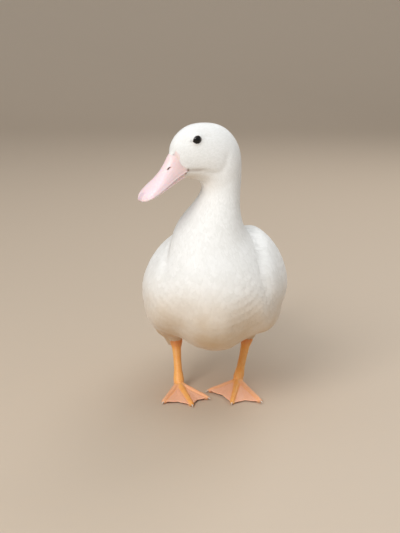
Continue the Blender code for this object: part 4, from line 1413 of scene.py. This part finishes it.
class DUCK_OT_body_coat(bpy.types.Operator):
    """Lays the contour feathers of breast, belly, flanks, back and rump in rows."""

    bl_idname = "duck.body_coat"
    bl_label = "Body feathers"

    def execute(self, context):
        plumage = Plumage.prepare()
        lay = plumage.body
        rng = np.random.default_rng(31)
        row = context.scene.duck_sizes.breast_row
        vane = Vane("contour_vane", 5, 4, CONTOUR, 0.015)
        rows, columns = rowed(lay, rows_of(NECK_END) - 9, rows_of(TAIL_BASE) - 4, row, row * 1.08, rng)
        stride = np.linalg.norm(lay.at(rows, columns)[2], axis=1)
        usual = lay.stride.mean(1)[rows.astype(int)]
        length = 18.5 * MM * np.clip(stride / usual, 0.7, 1.6) * rng.uniform(0.92, 1.08, len(rows))
        hidden = plumage.on_wing(rows, columns)
        hidden &= plumage.on_wing(rows + length / stride, columns) | (rows > rows_of(WING_BACK))
        angle = columns / ROUND_STEPS * 2 * math.pi
        turn = rng.normal(0, 0.06, len(rows)) - 0.10 * np.cos(angle) * (np.sin(angle) < 0)
        lower, front = np.sin(angle) < 0.15, rows < rows_of(BREAST_END)
        for name, chosen, seed in (
            ("coat_breast", lower & front, 32), ("coat_belly", lower & ~front, 33), ("coat_back", ~lower, 34),
        ):
            k = np.flatnonzero(chosen & ~hidden)
            batch = laid(lay, vane, rows[k], columns[k], length[k], row * 2.0, turn=turn[k], root=-0.75 * MM,
                         tip=rng.uniform(0.0, 0.04, len(k)) * MM, roll=rng.normal(0, 0.006, len(k)),
                         fray=0.04, thick=0.06 * MM, seed=seed)
            coat_piece(name, [batch])
        return {"FINISHED"}


# Rows of large feathers on a wing: shares of the way along it and up it from the first feather to the last,
# number, lengths of the first and the last, width, kind of vane, how high the first tip stands, roll and seed
FLIGHT_ROWS = (
    ((0.56, 0.63), (0.06, 0.94), 8, (126, 108), 21, "primary", 0.0, -0.010, 43),
    ((0.36, 0.42), (0.03, 0.66), 14, (96, 108), 19, "flight", 0.1, -0.022, 44),     # secondaries
    ((0.42, 0.44), (0.62, 0.97), 7, (122, 116), 23, "flight", 0.25, -0.022, 45),    # tertials
)
# Rows of coverts: shares of the way along the wing, number, length and width
COVERT_ROWS = ((0.29, 0.36, 17, 44, 15), (0.245, 0.29, 19, 33, 13.5), (0.205, 0.24, 21, 25, 12))
# Rows of scapulars: share of the way up the wing, length and width; and the number in each row
SCAPULAR_ROWS = ((0.80, 40, 15), (0.90, 46, 17), (0.99, 50, 18))
SCAPULARS = 26


class DUCK_OT_wing_coat(bpy.types.Operator):
    """Lays the folded wings' feathers: primaries, secondaries, tertials, rows of coverts and scapulars."""

    bl_idname = "duck.wing_coat"
    bl_label = "Wing feathers"

    def execute(self, context):
        plumage = Plumage.prepare()
        vanes = {"flight": Vane("flight_vane", 22, 8, FLIGHT, 0.018, quill=0.014),
                 "primary": Vane("primary_vane", 22, 8, POINTED, 0.004, quill=0.010),
                 "covert": Vane("covert_vane", 6, 4, CONTOUR, 0.05)}
        for side in SIDES:
            lay = plumage.wings[side]
            high, wide = lay.points.shape[:2]
            rng = np.random.default_rng(41 if side == "left" else 42)
            batches = []

            def place(vane, rows, columns, **more):
                """Feathers at rows and columns of the wing, where the body's own leave it bare."""
                bare = plumage.left_bare(lay.at(rows, columns)[0])
                more = {key: value[bare] if np.ndim(value) else value for key, value in more.items()}
                batches.append(laid(lay, vanes[vane], rows[bare], columns[bare], **more))

            def up(share):
                """A share of the wing's height as a column."""
                return (share + WING_MARGIN) / (1 + 2 * WING_MARGIN) * (wide - 1)

            for along, height, count, lengths, width, vane, tip, roll, seed in FLIGHT_ROWS:
                share = np.linspace(0, 1, count)
                length = lengths[0] + (lengths[1] - lengths[0]) * share + rng.uniform(-1.5, 1.5, count)
                place(vane, (along[0] + (along[1] - along[0]) * share) * (high - 1),
                      up(height[0] + (height[1] - height[0]) * share), length=length * MM, width=width * MM,
                      turn=0.02 + rng.normal(0, 0.008, count), root=-0.95 * MM,
                      tip=(0.10 * share + tip) * MM, roll=roll, thick=0.16 * MM, fray=0.006, seed=seed)
            for number, (start, end, count, length, width) in enumerate(COVERT_ROWS):
                across = np.linspace(0.02, 0.98, count) + (0.5 / count) * (number % 2)
                place("covert", (start + (end - start) * across) * (high - 1), up(across),
                      length=length * rng.uniform(0.95, 1.05, count) * MM, width=width * MM,
                      turn=rng.normal(0.02, 0.03, count), root=-1.0 * MM, tip=(0.10 + 0.08 * number) * MM,
                      roll=-0.03, fray=0.02, seed=46 + number)
            small = context.scene.duck_sizes.covert_row
            rows, columns = rowed(lay, 0.02 * high, 0.22 * high, small, 6.2 * MM, rng)
            bare = plumage.left_bare(lay.at(rows, columns)[0])
            rows, columns = rows[bare], columns[bare]
            share = rows / high
            batches.append(laid(
                lay, vanes["covert"], rows, columns,
                np.interp(share, (0, 0.2), (14, 23)) * MM * rng.uniform(0.92, 1.08, len(rows)),
                np.interp(share, (0, 0.2), (9, 13)) * MM, turn=rng.normal(0, 0.05, len(rows)),
                root=-1.1 * MM, tip=np.interp(share, (0.02, 0.12), (-0.5, 0.12)) * MM, seed=50,
            ))
            # Scapulars: soft long feathers along the wing's upper edge, over the shoulder
            run = np.linspace(0.10, 0.62, SCAPULARS)
            for number, (height, length, width) in enumerate(SCAPULAR_ROWS):
                spots = up(height + rng.normal(0, 0.008, SCAPULARS))
                place("covert", (run + 0.012 * (number % 2)) * (high - 1), spots,
                      length=length * np.interp(run, (0.1, 0.3, 0.6), (0.5, 1.0, 1.3)) * MM,
                      width=width * np.interp(run, (0.1, 0.3), (0.6, 1.0)) * MM,
                      turn=rng.normal(-0.03, 0.04, SCAPULARS), root=-1.1 * MM,
                      tip=(0.25 + 0.1 * number) * np.interp(run, (0.1, 0.3), (-0.6, 1.0)) * MM,
                      roll=-0.03, fray=0.03, seed=52 + number)
            coat_piece("coat_wing_" + side, batches)
        return {"FINISHED"}


class DUCK_OT_tail_coat(bpy.types.Operator):
    """Lays the fan of tail feathers and the coverts over and under its root."""

    bl_idname = "duck.tail_coat"
    bl_label = "Tail feathers"

    def execute(self, context):
        plumage = Plumage.prepare()
        fan = tail_lay()
        wide = fan.points.shape[1]
        flight = Vane("tail_vane", 20, 8, FLIGHT, 0.04, quill=0.02)
        contour = Vane("tail_covert_vane", 6, 4, CONTOUR, 0.04)
        columns = np.linspace(-1, 1, TAIL_FEATHERS)
        out = np.abs(columns)
        batches = [laid(fan, flight, np.full(TAIL_FEATHERS, 4.0), (0.5 + 0.42 * columns) * (wide - 1),
                        (98 - 22 * out ** 2) * MM, 16 * MM, turn=0.14 * columns, root=-1.2 * MM,
                        tip=(0.5 - 0.7 * out) * MM, roll=-0.05 * np.sign(columns), thick=0.25 * MM, fray=0.01,
                        seed=61)]
        rng = np.random.default_rng(62)
        lay = plumage.body
        rows, spots = rowed(lay, rows_of(TAIL_BASE) - 8, rows_of(TAIL_UNDER), 5.0 * MM, 5.6 * MM, rng)
        # The coverts over the tail end sooner than those under it
        shown = (np.sin(spots / ROUND_STEPS * 2 * math.pi) < 0.1) | (rows < rows_of(TAIL_OVER))
        rows, spots = rows[shown], spots[shown]
        batches.append(laid(lay, contour, rows, spots, 24 * MM * rng.uniform(0.92, 1.08, len(rows)), 11 * MM,
                            turn=rng.normal(0, 0.05, len(rows)), root=-1.0 * MM,
                            tip=rng.uniform(0.15, 0.22, len(rows)) * MM, seed=63))
        coat_piece("coat_tail", batches)
        return {"FINISHED"}


class DUCK_OT_thigh_coat(bpy.types.Operator):
    """Lays the soft downward feathers of the thighs."""

    bl_idname = "duck.thigh_coat"
    bl_label = "Thigh feathers"

    def execute(self, context):
        vane = Vane("thigh_vane", 5, 4, CONTOUR, 0.06)
        for number, side in enumerate(SIDES):
            lay = thigh_lay(side)
            rng = np.random.default_rng(71 + number)
            high, wide = lay.points.shape[:2]
            rows, columns = rowed(lay, 1, high * 0.86, 3.4 * MM, 4.0 * MM, rng, 0.2)
            angle = columns / wide * 2 * math.pi
            outer = np.cos(angle) * SIDES[side]
            # The right thigh's longest feathers hang beside and behind the hock
            hang = ease(0.9 * outer + 0.4 * np.sin(angle), -0.1, 0.6) * ease(rows / high, 0.4, 0.7)
            length = 10 + 5 * (0.5 + 0.5 * np.sin(angle)) + (18 if side == "right" else 3) * hang
            batch = laid(lay, vane, rows, columns, length * MM * rng.uniform(0.85, 1.1, len(rows)), 6.2 * MM,
                         turn=rng.normal(0, 0.10, len(rows)), root=-0.9 * MM,
                         tip=rng.uniform(0.0, 0.10, len(rows)) * MM, fray=0.06, seed=73 + number)
            coat_piece("coat_thigh_" + side, [batch])
        return {"FINISHED"}


class DUCK_OT_stage(bpy.types.Operator):
    """Sets the pale floor, which sweeps up behind, soft lights and the camera."""

    bl_idname = "duck.stage"
    bl_label = "Stage"

    def execute(self, context):
        bpy.ops.object.select_all(action="DESELECT")
        bpy.ops.mesh.primitive_grid_add(x_subdivisions=2, y_subdivisions=64, size=1)
        floor = bpy.context.object
        floor.name = "floor"
        points = points_of(floor)[0]
        run = (points[:, 1] + 0.5) * FLOOR_LENGTH - FLOOR_FRONT
        arc = np.clip((run - SWEEP_START) / SWEEP_RADIUS, 0, math.pi / 2)
        beyond = np.maximum(run - SWEEP_START - SWEEP_RADIUS * math.pi / 2, 0)
        y = np.minimum(run, SWEEP_START) + SWEEP_RADIUS * np.sin(arc)
        z = SWEEP_RADIUS * (1 - np.cos(arc)) + beyond
        set_points(floor, np.stack([points[:, 0] * FLOOR_WIDTH, y, z], -1))
        floor.data.materials.append(floor_material(context.scene.duck_colours))
        floor.data.shade_smooth()
        for name, location, size, power, colour in LIGHTS:
            bpy.ops.object.light_add(type="AREA", location=location)
            light = bpy.context.object
            light.name = name
            light.data.size, light.data.energy, light.data.color = size, power, colour
            aim = Vector((0, 0, 0.2)) - Vector(location)
            light.rotation_euler = aim.to_track_quat("-Z", "Y").to_euler()
        world = bpy.data.worlds.new("studio")
        world.use_nodes = True
        fill(world.node_tree.nodes["Background"], {0: SKY_COLOUR, 1: SKY_STRENGTH})
        context.scene.world = world
        context.scene.view_settings.view_transform = "Standard"
        bpy.ops.object.camera_add(location=CAMERA_PLACE + Vector((BODY_MIDDLE, NECK_AXIS.y, 0)))
        camera = bpy.context.object
        camera.rotation_euler = (math.radians(90 - CAMERA_PITCH), 0, math.radians(CAMERA_YAW))
        camera.data.sensor_width = SENSOR
        camera.data.lens = VIEW_DEPTH * SENSOR
        camera.data.clip_start = 0.01
        context.scene.camera = camera
        return {"FINISHED"}


class DUCK_PT_panel(bpy.types.Panel):
    """Lists the duck's pieces and settings in the sidebar."""

    bl_label = "White duck"
    bl_idname = "DUCK_PT_panel"
    bl_space_type = "VIEW_3D"
    bl_region_type = "UI"
    bl_category = "Duck"

    def draw(self, context):
        for operator in OPERATORS:
            self.layout.operator(operator.bl_idname)
        for group in (context.scene.duck_sizes, context.scene.duck_colours):
            for name in group.__annotations__:
                self.layout.prop(group, name)


OPERATORS = (
    DUCK_OT_stage, DUCK_OT_skin, DUCK_OT_bill, DUCK_OT_eyes, DUCK_OT_claws, DUCK_OT_head_coat,
    DUCK_OT_neck_coat, DUCK_OT_body_coat, DUCK_OT_wing_coat, DUCK_OT_tail_coat, DUCK_OT_thigh_coat,
)
CLASSES = (DuckSizes, DuckColours) + OPERATORS + (DUCK_PT_panel,)


def register():
    """Registers the classes and settings."""
    for item in CLASSES:
        bpy.utils.register_class(item)
    bpy.types.Scene.duck_sizes = bpy.props.PointerProperty(type=DuckSizes)
    bpy.types.Scene.duck_colours = bpy.props.PointerProperty(type=DuckColours)


def unregister():
    """Removes the settings and classes."""
    del bpy.types.Scene.duck_sizes
    del bpy.types.Scene.duck_colours
    for item in reversed(CLASSES):
        bpy.utils.unregister_class(item)


def main():
    register()
    bpy.context.scene["plumage"] = plumage_material(bpy.context.scene.duck_colours)
    for operator in OPERATORS:
        group, name = operator.bl_idname.split(".")
        getattr(getattr(bpy.ops, group), name)()


if __name__ == "__main__":
    main()
